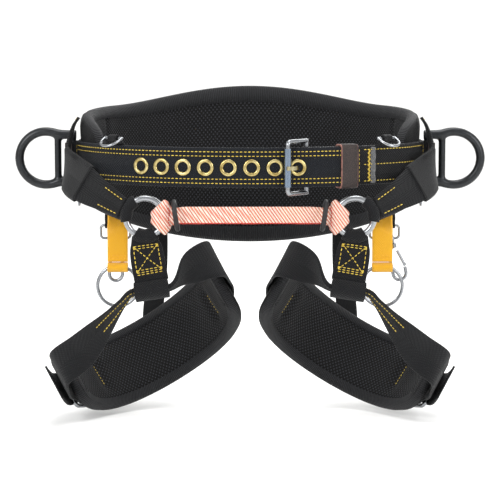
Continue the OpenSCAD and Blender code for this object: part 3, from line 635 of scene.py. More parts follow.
# ---------------------------------------------------------------- buckle
# A nickel-plated steel tongue buckle: round-wire frame open behind the belt, a loose roller on
# its front bar and a tongue through the last eyelet. The turned and bent parts are the CAD's own.
def metal_finish(name, colour, dark, roughness, scratch_and_reflection_scale=300):
    material, tree, shader = surface(name, colour, roughness, metallic=1.0)
    place = add(tree, "TexCoord").outputs["Object"]
    stretch = add(tree, "Mapping", {"Scale": (1.0, 1.0, 6.0)}, {"Vector": place}).outputs[0]
    scratches_and_painted_reflection = add(tree, "TexNoise", {"Scale": scratch_and_reflection_scale, "Detail": 4.0}, {"Vector": stretch}).outputs["Fac"]
    # Painted reflection: in noise patches the base colour swaps between the metal's colour and a dark colour,
    # standing in for the dark surroundings that polished metal reflects. The same stretched noise also gives
    # fine scratches in the bump.
    dyed(tree, shader, mixed(tree, blotches(tree, 30), shades(tree, scratches_and_painted_reflection, dark, colour),
                                shades(tree, scratches_and_painted_reflection, colour, dark, (0.45, 1.0))))
    raised(tree, shader, scratches_and_painted_reflection, 0.03)
    return material


nickel_steel = metal_finish("nickel_plated_steel", "#a2a4a7", "#65686d", 0.24)
blued_roller = metal_finish("blued_steel_roller", "#8796a8", "#5d6b7d", 0.26)
forged_steel = metal_finish("polished_forged_steel", "#a6a8ab", "#606368", 0.2)
worn_tongue = metal_finish("brassed_steel_tongue", "#b5ad8c", "#857a55", 0.28)


def dress(node, material):
    """Gives a CAD node its finish."""
    nodes[node].data.materials.clear()
    nodes[node].data.materials.append(material)
    nodes[node].data.shade_smooth()
    nodes[node].data.set_sharp_from_angle(angle=math.radians(35))


dress("buckle_frame", nickel_steel)
dress("buckle_roller", blued_roller)
dress("buckle_tongue", worn_tongue)

# The buckle strap lies behind the billet: two plies that fold round the buckle's heel bar.
# Three rows of yellow stitching run along it, and a dense bar of stitches closes its end.
eye_place = oval(BUCKLE_ANGLE, BILLET_MID)
eye_way = oval_way(BUCKLE_ANGLE, BILLET_MID)
over_tape, strap_in, strap_thick = PAD_THICK + 1.2 + 0.4, 11.7, 5.0
eye_angle = walk(BUCKLE_ANGLE, 12, BILLET_INNER)
heel_in = 3.25 + 0.4 + 3.0 + 2.6  # the heel bar lies this far inside the billet's middle


def buckle_strap_mid(a):
    dip = BILLET_MID - heel_in - (strap_in + strap_thick / 2)
    over = 360 - belt_end - 0.1 - 17
    rise = 1.0 if a > over else float(bell((over - a) / 12))
    dip *= float(bell((a - eye_angle) / 11))
    return strap_in + strap_thick / 2 + dip + (over_tape - strap_in) * rise


first = walk(eye_angle, 4.4, BILLET_INNER)
buckle_strap = Strap(belt_rows(buckle_strap_mid, strap_thick, first, 360 - belt_end - 0.1, WEB, 1.2), 1)
main = buckle_strap.mesh("strap_run")
wrap_turn = np.radians(np.linspace(0, 360, 33)[:-1])
heel_at = eye_place + eye_way * 12 + np.array([-eye_way[1], eye_way[0]]) * heel_in
wraps = []
for low, high in ((-WEB / 2, -4.8), (4.8, WEB / 2)):
    shape = [(3.0, low), (3.0, high), (5.3, high), (5.6, high - 0.5), (5.6, low + 0.5), (5.3, low)]
    rings = [[(heel_at[0] + r * math.cos(t), heel_at[1] + r * math.sin(t), z) for r, z in shape]
             for t in wrap_turn]
    wraps.append(loft("strap_wrap", rings, np.linspace(0, 30, 33), [0, 0, 10, 20, 30, 0, 0], closed=True))
sewn_on(joined("buckle_strap_webbing", [main, *wraps]), "buckle_strap")
side = outer_side(buckle_strap)
keeper_mid = walk(BUCKLE_ANGLE, 59, BILLET_INNER)
seen_from = float(np.interp(keeper_mid + 7, np.linspace(first, 360 - belt_end - 0.1, len(buckle_strap.along)),
                            buckle_strap.along))
stop = buckle_strap.length - 4
lines = [buckle_strap.line((seen_from, v), (stop, v), side) for v in (17.5, 1.0, -17.5)]
lines += [buckle_strap.line((seen_from - 6.5, -18), (seen_from - 6.5, 18), side)]
tack = [(seen_from + 5 + (2.4 if k % 2 else 0), -18 + 36 * k / 16) for k in range(17)]
for (u0, v0), (u1, v1) in zip(tack, tack[1:]):
    lines.append(buckle_strap.line((u0, v0), (u1, v1), side))
    lines.append(buckle_strap.line((u0 + 1.2, v0), (u1 + 1.2, v1), side))
sew("buckle_strap_stitching", lines, "belt")

# Frayed grey cut end of the webbing under the dense stitches.
frayed, tree, shader = surface("frayed_webbing_end", "#77787a", 0.9, Sheen_Weight=0.4, Sheen_Roughness=0.6)
dyed(tree, shader, shades(tree, blotches(tree, 900, 6.0), "#161617", "#6a6b6d"))
raised(tree, shader, blotches(tree, 900, 6.0), 0.6)
fray_rows = []
for k in range(9):
    place, up = buckle_strap.point(np.array([seen_from + 11.5]), np.array([-20 + 5.0 * k]), side, 0.5)
    fray_rows.append([*place[0], *eye_way, 0, 6.5 + 0.8 * math.sin(k * 2.3), 1.0])
finish_piece(Strap(fray_rows, 3).mesh("frayed_strap_end"), "belt", frayed)

# ---------------------------------------------------------------- leather keeper
# A strip of brown-black leather bent round both straps and joined at the back; its cut edges
# show the paler, pinkish hide. It slides to hold the end of the billet down.
hide, tree, shader = surface("dyed_cowhide", "#2c201d", 0.55, Specular_IOR_Level=0.35)
u, v = texture_lengths(tree)
place = add(tree, "TexCoord").outputs["Object"]
pores = add(tree, "TexVoronoi", {"Scale": 900.0}, {"Vector": place}).outputs["Distance"]
face = mixed(tree, blotches(tree, 70), shades(tree, pores, "#150f0e", "#2a201d"),
             shades(tree, pores, "#1c1513", "#352825"))
cut = combined(tree, "GREATER_THAN", combined(tree, "ABSOLUTE", v, 0), 9.3 * MM)
dyed(tree, shader, mixed(tree, cut, face, shades(tree, blotches(tree, 200), "#5f4039", "#9c6d62")))
raised(tree, shader, combined(tree, "ADD", pores, blotches(tree, 500)), 0.2)

KEEPER_WALL = 1.8
# Places along the belt and shares of the wall, round the leather's cross-section.
keeper_section = [(-10, 0), (-9.4, 0), (9.4, 0), (10, 0), (10, 1), (9.4, 1.15), (0, 1.25), (-9.4, 1.15),
                  (-10, 1)]
inner, outer = strap_in - 1.2, BILLET_MID + BILLET_THICK / 2 + 0.4
half_high = WEB / 2 + 0.4
loop = []
for t in np.linspace(0, 2 * math.pi, 64, endpoint=False):
    c, s = math.cos(t), math.sin(t)
    squared = (abs(c) ** 7 + abs(s) ** 7) ** (-1 / 7)
    loop.append((c * squared, s * squared))
rings = []
for x, z in loop:
    place = []
    for along_keeper, wall in keeper_section:
        angle = walk(keeper_mid, along_keeper, BILLET_INNER)
        grow = wall * KEEPER_WALL
        off = (inner + outer) / 2 + x * ((outer - inner) / 2 + grow)
        place.append((*oval(angle, off), z * (half_high + grow)))
    rings.append(place)
across = [-10, -9.2, 9.2, 10, 10, 9.2, 0, -9.2, -10, -10]
keeper_loop = loft("keeper_loop", rings, np.linspace(0, 130, 65), across, closed=True)
finish_piece(keeper_loop, "leather_keeper", hide, ["leather_keeper"])

# ---------------------------------------------------------------- side D-rings
# Large D-rings forged from aluminium bar and anodised black, with a second cross bar. Webbing
# loops hold their pivot bars, and half sleeves of leather save the loops from wear.
anodised, tree, shader = surface("black_anodised_forging", "#101214", 0.38, metallic=0.5, Coat_Weight=0.2,
                                 Coat_Roughness=0.2)
two_tone(tree, shader, 40, blotches(tree, 300, 6.0), ("#0b0c0e", "#15181b"), ("#101214", "#20242a"))
raised(tree, shader, blotches(tree, 700, 6.0), 0.12)
D_PIVOT, D_REACH, D_R, D_CROSS, D_GAP = 207.25, 31.0, 31.0, 8.5, 17.0


def tube(name, points, radii, turns=24):
    """A round bar along points."""
    points = np.asarray(points, float)
    way = unit(np.gradient(points, axis=0))
    base = np.array([0, 1.0, 0]) if abs(way[0][1]) < 0.9 else np.array([1.0, 0, 0])
    a = unit(base - (way @ base)[:, None] * way)
    b = np.cross(way, a)
    t = np.linspace(0, 2 * math.pi, turns, endpoint=False)
    radii = np.broadcast_to(radii, len(points))
    round_it = np.cos(t)[None, :, None] * a[:, None] + np.sin(t)[None, :, None] * b[:, None]
    return loft(name, points[:, None] + radii[:, None, None] * round_it)


def melted(piece, voxel, passes, factor=0.5):
    """Fuses a piece's crossing parts into one skin and softens the joins."""
    bpy.context.view_layer.objects.active = piece
    remesh = piece.modifiers.new("fuse", "REMESH")
    remesh.mode = "VOXEL"
    remesh.voxel_size = voxel * MM
    soften = piece.modifiers.new("soften", "SMOOTH")
    soften.factor = factor
    soften.iterations = passes
    solid = bpy.data.meshes.new_from_object(piece.evaluated_get(bpy.context.evaluated_depsgraph_get()))
    piece.modifiers.clear()
    piece.data = solid
    solid.shade_smooth()
    return piece


for side_name, flip in (("left", 1), ("right", -1)):
    turn = math.degrees(math.asin(27.5 / D_R))
    bow = [(-D_REACH + D_R * math.cos(math.radians(a)), D_R * math.sin(math.radians(a)))
           for a in np.linspace(turn + 2, 360 - turn - 2, 46)]
    path = [(4.6, 27.5), (0, 27.5), (-6, 27.5), (-12, 27.5), (-15, 27.6)] + bow
    path += [(-15, -27.6), (-12, -27.5), (-6, -27.5), (0, -27.5), (4.6, -27.5)]
    bar_path = [(flip * (-D_PIVOT + x), 0, z) for x, z in path]
    fat = [5.25 + 0.75 * math.exp(-((x + 16) / 5) ** 2) for x, z in path]
    parts = [tube("bow", bar_path, np.array(fat))]
    for x in (0, -D_GAP):
        bar = [(flip * (-D_PIVOT + x), 0, z) for z in np.linspace(-27.5, 27.5, 8)]
        parts.append(tube("cross", bar, D_CROSS / 2))
    ring = melted(joined(f"forged_d_{side_name}", parts), 1.3, 5)
    finish_piece(ring, f"d_ring_{side_name}", anodised, [f"d_ring_{side_name}"])
    # Loop of webbing round the pivot bar, its two tails sewn flat to the belt.
    plate = 16.8 + WEB_THICK / 2
    wrap_r = D_CROSS / 2 + 0.5 + WEB_THICK / 2
    rows = [[*oval(a, plate), 0, 0, 0, 1, WEB - 3, WEB_THICK] for a in np.linspace(168.5, 178, 7)]
    for t in np.radians(np.linspace(60, 300, 15)):
        rows.append([-D_PIVOT + wrap_r * math.cos(t), wrap_r * math.sin(t), 0, 0, 0, 1, WEB - 3, WEB_THICK])
    rows += [[*oval(a, plate), 0, 0, 0, 1, WEB - 3, WEB_THICK] for a in np.linspace(182, 191.5, 7)]
    wrap = Strap(rows, 2, mirrored=flip < 0)
    sewn_on(wrap.mesh(f"d_ring_loop_{side_name}"), f"d_loop_{side_name}")
    face = outer_side(wrap, 4)
    lines = [wrap.line((u0, -17), (u0, 17), face) for u0 in (5, 9, wrap.length - 9, wrap.length - 5)]
    sew(f"d_ring_loop_stitching_{side_name}", lines, "belt")
dress("d_sleeves", hide)

# ---------------------------------------------------------------- hip straps
# From the pad's top corner a webbing strap comes down past the D-ring and forward to the front
# ring. It runs through a smooth knitted elastic sleeve and is folded and sewn round the ring.
RING_AT = np.array([-116.0, -135.0, -56.0])
RING_R = 21.0
HIP_ROWS = [
    [-197, -30, 49, 0, 1, 0, 24, 2.6],
    [-203, -31, 39, 0, 1, 0, 26, 2.6],
    [-208, -36, 20, 0, 1, -0.3, 30, 2.6],
    [-209, -48, 0, -0.1, 0.6, -0.8, 40, 2.6],
    [-203, -68, -13, -0.25, -0.1, -0.95, 42, 2.6],
    [-185, -93, -24, -0.4, -0.15, -0.9, 41, 2.6],
    [-163, -117, -35, -0.38, 0, -0.93, 32, 2.6],
    [-141, -135, -46, -0.4, 0, -0.92, 24, 4],
]


def ring_fold(name, turns, sides, flip, radius, along=None, across=None, stretch=1.0, shift=0.0):
    """Webbing folded round an arc of a front ring; radius depends on the turn and the section's angle."""
    fold = []
    for t in turns:
        out_way = np.array([math.cos(t), 0, math.sin(t)])
        ring = []
        for s in np.linspace(0, 2 * math.pi, sides, endpoint=False):
            r = radius(t, s)
            reach = RING_R + r * stretch * math.cos(s) + shift
            spread = out_way * reach + np.array([0, r * math.sin(s), 0])
            ring.append((RING_AT + spread) * np.array([flip, 1, 1]))
        fold.append(ring)
    return loft(name, fold, along, across)


def hip_fold_radius(t, s):
    return 6.2 + 0.5 * math.cos(2 * s) + 0.25 * math.sin(9 * t)


knit_elastic = webbing_finish("black_knitted_elastic", "#08080a", "#121315", 1.7, 400.0, 0.1)
for side_name, flip in (("left", 1), ("right", -1)):
    hip = Strap(HIP_ROWS, 12, mirrored=flip < 0)
    mesh = hip.mesh("hip_run")
    wrap = ring_fold("hip_fold", np.radians(np.linspace(120, 192, 16)), 20, flip, hip_fold_radius,
                     np.linspace(0, 26, 17), np.linspace(0, 38, 21))
    sewn_on(joined(f"hip_webbing_{side_name}", [mesh, wrap]), f"hip_strap_{side_name}")
    outer = 1 if (hip.up[50] @ (hip.centre[50] * np.array([1, 1, 0]))) > 0 else -1
    lines = [hip.line((hip.length - 33, s * 10.5), (hip.length - 4, s * 8.5), outer) for s in (-1, 1)]
    lines += [hip.line((2, -9), (2, 9), outer), hip.line((4, -9), (4, 9), outer)]
    sew(f"hip_stitching_{side_name}", lines, "belt")
    span = slice(33, 60)
    sleeve = Strap(np.column_stack([hip.centre, hip.across, hip.width + 4.6, hip.thick + 4.2])[span], 1)
    sleeve.up = hip.up[span]
    finish_piece(sleeve.mesh(f"elastic_sleeve_{side_name}", 1.6), "belt", knit_elastic,
                 [f"hip_keeper_{side_name}"])
    dress(f"front_ring_{side_name}", forged_steel)
    for node in ("gear_ring", "side_ring", "tab_ring", "link", "snap_hook", "snap_gate", "leg_buckle"):
        dress(f"{node}_{side_name}", nickel_steel)

# ---------------------------------------------------------------- bridge
# A flat tube of red and white rope-core webbing joins the front rings. Each end is folded
# round its ring in bulky pleats, and a black rubber ring grips the neck of the fold.
bridge_weave, tree, shader = surface("striped_bridge_webbing", "#d97868", 0.75, Specular_IOR_Level=0.3,
                                     Sheen_Weight=0.1, Sheen_Roughness=0.5)
place = add(tree, "SeparateXYZ", links={0: add(tree, "TexCoord").outputs["Object"]})
across_x = combined(tree, "ABSOLUTE", place.outputs[0], 0)
slant = combined(tree, "ADD", waves(tree, place.outputs[0], place.outputs[2], 3.7, 5.2), 0.25)
thin = waves(tree, across_x, place.outputs[2], 2.1, -3.4)
tone = combined(tree, "ADD", slant, combined(tree, "MULTIPLY", thin, 0.6))
body_colour = mixed(tree, blotches(tree, 50), shades(tree, tone, "#c46a62", "#eecfc6", (0.0, 0.8)),
                    shades(tree, tone, "#cc8a68", "#f2dccb", (0.0, 0.8)))
low_edge = combined(tree, "LESS_THAN", place.outputs[2], -62.0 * MM)
middle = combined(tree, "LESS_THAN", across_x, 81.0 * MM)
dyed(tree, shader, mixed(tree, combined(tree, "MULTIPLY", low_edge, middle), body_colour,
                         shades(tree, thin, "#b42e22", "#d04838")))
raised(tree, shader, tone, 0.35)


def pleat_radius(t, s):
    cap = math.sqrt(max(0.0, 1 - (math.degrees(t) / 50) ** 4))
    return (8.6 + 0.6 * math.sin(24 * t) * (0.4 + 0.6 * abs(math.sin(s)))) * (0.68 + 0.32 * cap)


parts = []
rows = []
for x in np.linspace(-88, 88, 60):
    near = max(0.0, (abs(x) - 70) / 18)
    rows.append([x, RING_AT[1] + 0.3 * math.sin(x / 19), RING_AT[2] + 2 - 0.9 * near, 0, 0, 1,
                 19.6 - 3.5 * near ** 2, 5.4 + 2.2 * near ** 2])
flat_run = Strap(rows, 1)
parts.append(flat_run.mesh("bridge_run", 0.9, 7))
for flip in (1, -1):
    rings = []
    for k in range(15):
        x = k / 14
        high = 12.5 - 3.6 * math.exp(-((x - 0.78) / 0.16) ** 2) - 1.6 * max(0, x - 0.9) * 10 * 0.3
        deep = 6.6 - 1.5 * math.exp(-((x - 0.78) / 0.18) ** 2)
        ring = []
        for s in np.linspace(0, 2 * math.pi, 40, endpoint=False):
            pleat = 1 + 0.035 * math.sin(7 * s + 2.2 * x) + 0.025 * math.sin(11 * s)
            ring.append((flip * (RING_AT[0] + 14.5 + 19 * x),
                         RING_AT[1] + deep * pleat * math.cos(s),
                         RING_AT[2] + 1.5 + high * pleat * math.sin(s)))
        rings.append(ring)
    parts.append(loft("bridge_neck", rings))
    parts.append(ring_fold("bridge_wrap", np.radians(np.linspace(-43, 43, 27)), 30, flip, pleat_radius,
                           stretch=1.4, shift=-2))
bridge = melted(joined("bridge_webbing", parts), 1.25, 2, 0.4)
finish_piece(bridge, "belt", bridge_weave, ["bridge"])
crease_lines = []
red_thread, tree, shader = surface("red_seam_thread", "#b8342a", 0.6, ior=1.55)
dyed(tree, shader, shades(tree, blotches(tree, 300), "#a02a20", "#cc4a3c"))
for flip in (1, -1):
    z = np.linspace(-13.5, 13.5, 20)
    points = np.stack([np.full(20, flip * (RING_AT[0] + 26.5)) + 0.6 * np.sin(z / 3), RING_AT[1] - 6.2
                       - 0.8 * np.cos(z / 13.5), RING_AT[2] + 1 + z * 0.78], -1)
    crease_lines.append((points, np.tile([0, -1.0, 0], (20, 1))))
sew("bridge_crease_stitching", crease_lines, "belt", red_thread, 2.2, 0.5, 1.0)

# Rubber rings: plain moulded O-rings, slightly dusty.
moulded_rubber, tree, shader = surface("moulded_black_rubber", "#0c0c0d", 0.5, Specular_IOR_Level=0.4)
dyed(tree, shader, shades(tree, blotches(tree, 120), "#0d0d0e", "#1c1c1e"))
raised(tree, shader, blotches(tree, 500), 0.08)
for side_name in ("left", "right"):
    dress(f"rubber_ring_{side_name}", moulded_rubber)

# ---------------------------------------------------------------- gear loops
# Short loops of black tape carry the small steel D-rings: one pair on the belt's top edge, its
# tails tucked behind the billet, and one pair on the hips, sewn to the belt on a short patch.
TAPE = 1.8
GEAR_AT = (-151.9022, -107.5511, 30.0)
HIP_RING_AT = (-201.2, 14.0, -40.0)


def ring_loop(name, flip, pivot, way, inward, bore, width, patch, up, tuck):
    """Tape round a bar at the pivot, then flat for the patch; up is -1 down or +1 upward, and tuck is
    how far inside the pivot the patch lies."""
    mid = bore + TAPE / 2
    rows = []
    for t in np.radians(np.linspace(-160, 90, 14)):
        place = np.array(pivot) + np.array([*(inward * mid * math.sin(t)), -up * mid * math.cos(t)])
        rows.append([*place, *way, 0, width, TAPE])
    for d in np.linspace(3, patch, 9):
        behind = mid + (tuck - mid) * min(1.0, (d - 3) / 5)
        place = np.array(pivot) + np.array([*(inward * behind), up * d])
        rows.append([*place, *way, 0, width + min(4.0, d), TAPE])
    return Strap(rows, 2, mirrored=flip < 0).mesh(name)


gear_way = oval_way(223, 24.7)
gear_in = np.array([-gear_way[1], gear_way[0]])
for side_name, flip in (("left", 1), ("right", -1)):
    gear_mesh = ring_loop("gear", flip, GEAR_AT, gear_way, gear_in, 1.9, 13, 36, -1, 9.2)
    hip_way = np.array([math.cos(math.radians(-88)), math.sin(math.radians(-88))])
    hip_in = np.array([-hip_way[1], hip_way[0]])
    side_mesh = ring_loop("hip_loop", flip, HIP_RING_AT, hip_way, hip_in, 1.9, 13, 15, 1, 2.8)
    nodes_held = ["gear_tabs", "side_tabs"] if flip > 0 else []
    sewn_on(joined(f"gear_tapes_{side_name}", [gear_mesh, side_mesh]), *nodes_held)

# ---------------------------------------------------------------- yellow tabs and hangers
# Golden yellow webbing hangs from the back of the hips and is folded round a steel ring. Behind
# it a narrow black tape carries a wire link and a snap hook for tools.
TAB_AT = (-162.0, 98.0)
TAB_LOW, TAB_FOLD = -147.0, 12.4
LINK_AT = (-165.0, 108.0, -90.0)
golden_webbing = webbing_finish("golden_yellow_webbing", "#eea51c", "#ffc634", 2.0, 400.0, 0.25)
for side_name, flip in (("left", 1), ("right", -1)):
    rows = [
        [-164, 87.3, -6, 0.687, 0.727, 0, 25, 1.8],
        [-164, 87.8, -36, 0.7, 0.714, 0, 25, 1.8],
        [-163.5, 90.6, -66, 0.72, 0.69, 0, 25, 1.8],
        [-162.5, 93.6, -84, 0.85, 0.53, 0, 25, 2.6],
        [TAB_AT[0], TAB_AT[1], -100, 1, 0, 0, 25, 3.9],
        [TAB_AT[0], TAB_AT[1], -120, 1, 0, 0, 25, 3.9],
        [TAB_AT[0], TAB_AT[1], TAB_LOW + TAB_FOLD + 0.6, 1, 0, 0, 25, 3.9],
    ]
    tab = Strap(rows, 6, mirrored=flip < 0)
    fold = []
    for t in np.radians(np.linspace(90, 450, 25)):
        fold.append([flip * TAB_AT[0], TAB_AT[1] + 5.3 * math.cos(t) * (0.8 if math.sin(t) > 0.6 else 1),
                     TAB_LOW + TAB_FOLD / 2 + 5.3 * math.sin(t), 1, 0, 0, 25, TAPE])
    wrap = Strap(fold, 1)
    finish_piece(joined(f"yellow_webbing_{side_name}", [tab.mesh("tab"), wrap.mesh("tab_fold")]), "belt",
                 golden_webbing, [f"yellow_tab_{side_name}"])
    front = 1 if tab.up[-5][1] < 0 else -1
    lines = [tab.line((tab.length - 4.5, -11), (tab.length - 4.5, 11), front),
             tab.line((tab.length - 8, -11), (tab.length - 8, 11), front)]
    sew(f"yellow_tab_stitching_{side_name}", lines, "belt", golden_webbing)
    r = 1.6 + 0.5 + TAPE / 2
    rows = [
        [-165.6, 89.6, -36, 0.7, 0.714, 0, 25, 1.8],
        [-165.7, 93.4, -62, 0.74, 0.67, 0, 25, 1.8],
        [-165.5, 98.6, -77, 0.93, 0.35, 0, 25, 1.8],
        [-165, 104.4, -85, 1, 0, 0, 25.5, 1.8],
    ]
    for t in np.radians(np.linspace(160, 450, 13)):
        place = [LINK_AT[0], LINK_AT[1] + r * math.cos(t), LINK_AT[2] + r * math.sin(t)]
        rows.append([*place, 1, 0, 0, 26, TAPE])
    hanger = Strap(rows, 4, mirrored=flip < 0)
    sewn_on(hanger.mesh(f"hanger_tape_{side_name}"), f"hanger_{side_name}")

# ---------------------------------------------------------------- leg loops
# Each thigh has a curved foam pad bound like the waist pad, held by one long webbing strap. A
# doubled riser with a boxed cross of yellow stitching hangs the loop from the front ring.
LEG_MID = np.array([-121.0, -35.0, -200.0])
LEG_LONG = np.array([83.0, 0.0, 50.0])
LEG_SHORT = np.array([8.0, 95.0, -36.0])
LEG_ACROSS = unit(np.cross(LEG_LONG, LEG_SHORT))
LEG_SPAN, LEG_SPAN_MID = 91.0, 86.0  # degrees round the thigh: half the pad, and its middle
LEG_LEN, LEG_HALF = 160, 43.0  # half the pad's length and half its width
STRAP_OFF = PAD_THICK + 1.2 + 0.8 + WEB_THICK / 2
BUCKLE_AT, BUCKLE_STEP = 158.0, 8.0
TAIL_OFF = STRAP_OFF + WEB_THICK / 2 + 0.4 + 2.5 + 0.4 + 2.5 + 0.4 + WEB_THICK / 2 + 1.5


def leg_at(t, w, off):
    t = np.radians(np.asarray(t, float))[..., None]
    way = unit(-LEG_LONG * np.sin(t) + LEG_SHORT * np.cos(t))
    out = unit(np.cross(way, LEG_ACROSS))
    w, off = np.asarray(w, float)[..., None], np.asarray(off, float)[..., None]
    return LEG_MID + LEG_LONG * np.cos(t) + LEG_SHORT * np.sin(t) + LEG_ACROSS * w + out * off


def leg_place(c, s, off):
    return leg_at(LEG_SPAN_MID + LEG_SPAN * c, LEG_HALF * s, off)


def leg_outer(c, s, edge):
    strap_side = np.clip((np.abs(s) * LEG_HALF - 24) / 10, 0, 1)
    return PAD_THICK / 2 - 1 + squeeze(edge, PAD_THICK / 2 + 0.4) + 1.4 * strap_side * np.clip(edge / 8, 0, 1)


def leg_crease(c, s):
    """Two short creases across the pad, where bars of stitches pull the lining in."""
    pull = 0
    for at in (-0.62, 0.6):
        pull = pull + np.exp(-((c - at) / 0.05) ** 2) * (1 - np.clip((np.abs(s) - 0.34) / 0.3, 0, 1))
    return pull


def leg_lining(c, s, edge):
    puff = 3.4 * np.clip((edge - 8) / 16, 0, 1) ** 0.55
    wave = 0.7 * np.sin(c * 9 + 1.0) * np.sin(s * 3.0 + c * 3) * np.clip(edge / 14, 0, 1)
    return PAD_THICK / 2 - 1 - squeeze(edge, PAD_THICK / 2 - 1) - puff + wave + 4.6 * leg_crease(c, s)


def leg_lining_back(c, s, edge):
    return leg_lining(c, s, edge) + 2.0


def leg_inner(c, s, edge):
    return PAD_THICK / 2 - 1 - squeeze(edge, PAD_THICK / 2 - 4.4) + 2.2 * leg_crease(c, s)


def strap_row(t, off, up=0.0, width=WEB, thick=WEB_THICK):
    return [*leg_at(t, up, off), *-LEG_ACROSS, width, thick]


RISER_AT = np.array([-109.0, -136.0, -137.0])  # middle of the riser's lower eye
RISER_TILT, RISER_EYE = 9.0, 17.0


def riser_row(x, width, thick):
    tilt = math.radians(RISER_TILT)
    return [*(RISER_AT + x * np.array([math.cos(tilt), 0, math.sin(tilt)])), -0.1, 0.8, -0.5, width, thick]


def riser_fold_radius(t, s):
    return 8.0 + 0.15 * math.sin(13 * t)


t1 = BUCKLE_AT + BUCKLE_STEP
LEG_ROWS = [
    strap_row(38, STRAP_OFF, 8), strap_row(20, STRAP_OFF, 12), strap_row(7, STRAP_OFF, 15),
    strap_row(-6, STRAP_OFF, 17),
    [-41, -95, -107, 0.4, -0.25, -0.88, WEB, WEB_THICK],
    [-68, -119, -116, 0.15, 0.1, -1, 36, WEB_THICK],
    riser_row(22, 14, 5), riser_row(0, 14.4, 6), riser_row(-22, 14, 5),
    [-143, -130, -153, 0, 0.8, -0.6, 17, 3.4],
    [-164, -116, -179, 0.2, 0.5, -0.7, 26, WEB_THICK],
    [-191, -95, -212, 0.45, 0, -0.8, 40, WEB_THICK],
    strap_row(205, STRAP_OFF + 1, 3), strap_row(193, STRAP_OFF), strap_row(181, STRAP_OFF, -1),
    strap_row(t1 + 3, STRAP_OFF), strap_row(t1 - 1.5, STRAP_OFF + 0.2),
    strap_row(t1 - 5.2, (STRAP_OFF + TAIL_OFF) / 2 + 0.4), strap_row(t1 - 2.4, TAIL_OFF - 0.2),
    strap_row(t1 + 3, TAIL_OFF), strap_row(179, TAIL_OFF - 2), strap_row(186, TAIL_OFF - 2, 1),
]
leg_webbing = webbing_finish("grey_black_leg_webbing", "#050506", "#16171a", 2.6, 400.0, 0.05)
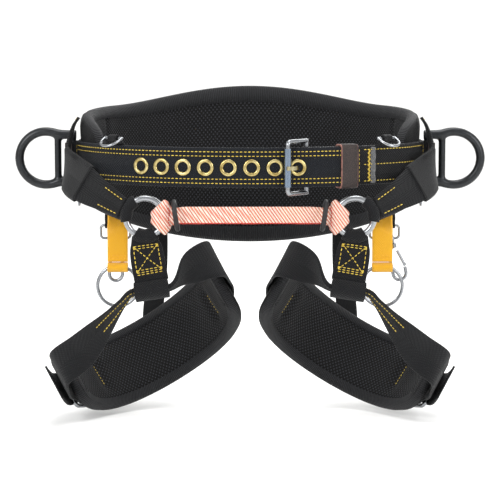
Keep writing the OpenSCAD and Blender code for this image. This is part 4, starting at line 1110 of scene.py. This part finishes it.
for side_name, flip in (("left", 1), ("right", -1)):
    body = f"leg_loop_{side_name}"

    def mirrored_place(c, s, off, flip=flip):
        return leg_place(c, s, off) * np.array([flip, 1, 1])

    cover = pad_skin(f"leg_pad_outer_{side_name}", mirrored_place, LEG_LEN, LEG_HALF, leg_inner, leg_outer,
                     130, 26)
    finish_piece(cover, body, nylon_cover, [f"leg_cover_{side_name}", f"leg_foam_{side_name}"])
    lining = pad_skin(f"leg_pad_mesh_{side_name}", mirrored_place, LEG_LEN, LEG_HALF, leg_lining,
                      leg_lining_back, 190, 34)
    finish_piece(lining, body, air_mesh, [f"leg_lining_{side_name}"])
    tape = binding_tape(f"leg_pad_tape_{side_name}", mirrored_place, LEG_LEN, LEG_HALF, 240)
    finish_piece(tape, body, grosgrain_tape, [f"leg_binding_{side_name}"])

    strap = Strap(LEG_ROWS, 7, mirrored=flip < 0)
    finish_piece(strap.mesh(f"leg_webbing_{side_name}"), body, leg_webbing,
                 [f"leg_strap_{side_name}"])

    top = RING_AT[2] - RING_R - 8.1 + 2
    plate = 2 * WEB_THICK
    rows = [
        [RING_AT[0], RING_AT[1], top + 6, 1, 0, 0, 29, plate],
        [RING_AT[0], RING_AT[1], top, 1, 0, 0, 31, plate],
        [RING_AT[0] + 1, RING_AT[1] - 0.3, top - 8, 1, 0, 0, 36, plate],
        [RING_AT[0] + 3, RING_AT[1] - 0.6, top - 22, 1, 0, 0.05, WEB - 6, plate],
        [RISER_AT[0], RISER_AT[1], RISER_AT[2] + RISER_EYE / 2 + 1, 1, 0, 0.15, WEB - 6, plate],
    ]
    riser = Strap(rows, 9, mirrored=flip < 0)
    tilt = math.radians(RISER_TILT)
    eye_way = np.array([math.cos(tilt), 0, math.sin(tilt)])
    eye_up = np.array([-math.sin(tilt), 0, math.cos(tilt)])
    eye_r = RISER_EYE / 2 + WEB_THICK / 2
    eye_rows = []
    for t in np.radians(np.linspace(90, 450, 37)):
        place = RISER_AT + eye_r * (math.cos(t) * np.array([0, -1, 0]) + math.sin(t) * eye_up)
        eye_rows.append([*place, *eye_way, WEB - 6, WEB_THICK])
    eye = Strap(eye_rows, 1, mirrored=flip < 0)
    wrap = ring_fold("riser_fold", np.radians(np.linspace(238, 302, 17)), 24, flip, riser_fold_radius,
                     np.linspace(0, 24, 18), np.linspace(0, 50, 25))
    riser_piece = joined(f"riser_webbing_{side_name}", [riser.mesh("riser"), eye.mesh("riser_eye"), wrap])
    sewn_on(riser_piece, f"riser_{side_name}", body=body)

    face = 1 if riser.up[10][1] < 0 else -1
    box = [(10, -13.5), (10, 13.5), (39, 14), (39, -14)]
    lines = [riser.line(box[i], box[(i + 1) % 4], face) for i in range(4)]
    lines += [riser.line(box[0], box[2], face), riser.line(box[1], box[3], face)]
    lines += [riser.line((12.6, -13.5), (12.6, 13.5), face), riser.line((36.4, -14), (36.4, 14), face),
              riser.line((41.4, -14), (41.4, 14), face)]
    sew(f"riser_stitching_{side_name}", lines, body)

    # Bars of stitches at the creases, at the strap's inner end and along its edges.
    lines = []
    for at, half in ((-0.62, 0.3), (0.6, 0.3)):
        s = np.linspace(-half, half, 22)
        c = np.full(22, at) + 0.02 * s
        edge = np.full(22, 20.0)
        points = mirrored_place(c, s, leg_lining(c, s, edge) - 0.35)
        inward = mirrored_place(c, s, leg_lining(c, s, edge) - 3)
        lines.append((points, unit(inward - points)))
    sew(f"leg_pad_stitching_{side_name}", lines, body, stitch=2.6, gap=0.9)
    face = 1 if strap.up[2] @ (strap.centre[2] - LEG_MID * np.array([flip, 1, 1])) > 0 else -1
    lines = [strap.line((u0, -19), (u0, 19), face) for u0 in (3, 7, 30, 34)]
    lines += [strap.line((3, v0), (34, v0), face) for v0 in (-19, 19)]
    near = float(np.interp(70, np.arange(len(strap.along)), strap.along))
    lines += [strap.line((near - 60, v0), (near + 8, v0), s) for v0 in (-5.0, 5.0) for s in (-1, 1)]
    sew(f"leg_strap_stitching_{side_name}", lines, body)

# ---------------------------------------------------------------- rear straps
# Flat elastic straps run from the back of the belt to the top of each leg pad and keep the pads from sliding
# down.
# The real straps stretch when the thigh lifts; here each is one fixed mesh.
for side_name, flip in (("left", 1), ("right", -1)):
    rows = [
        [-113.5, 124.9, -16, 0.889, 0.4575, 0, 25, 1.8],
        [-113.5, 124.6, -56, 0.889, 0.4575, 0, 25, 1.8],
        [-113.5, 124.4, -96, 0.9, 0.43, 0, 25, 1.8],
        [-114, 110, -142, 0.9, 0.3, 0.1, 25, 1.8],
        [*leg_at(84, LEG_HALF - 3, STRAP_OFF), 0.8, 0.1, 0.6, 25, 1.8],
        [*leg_at(84, LEG_HALF - 16, STRAP_OFF), 0.8, 0.1, 0.6, 25, 1.8],
    ]
    elastic = Strap(rows, 8, mirrored=flip < 0)
    piece = elastic.mesh(f"rear_elastic_{side_name}")
    piece.data.materials.append(knit_elastic)
    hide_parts(f"rear_strap_{side_name}")
    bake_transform(piece)
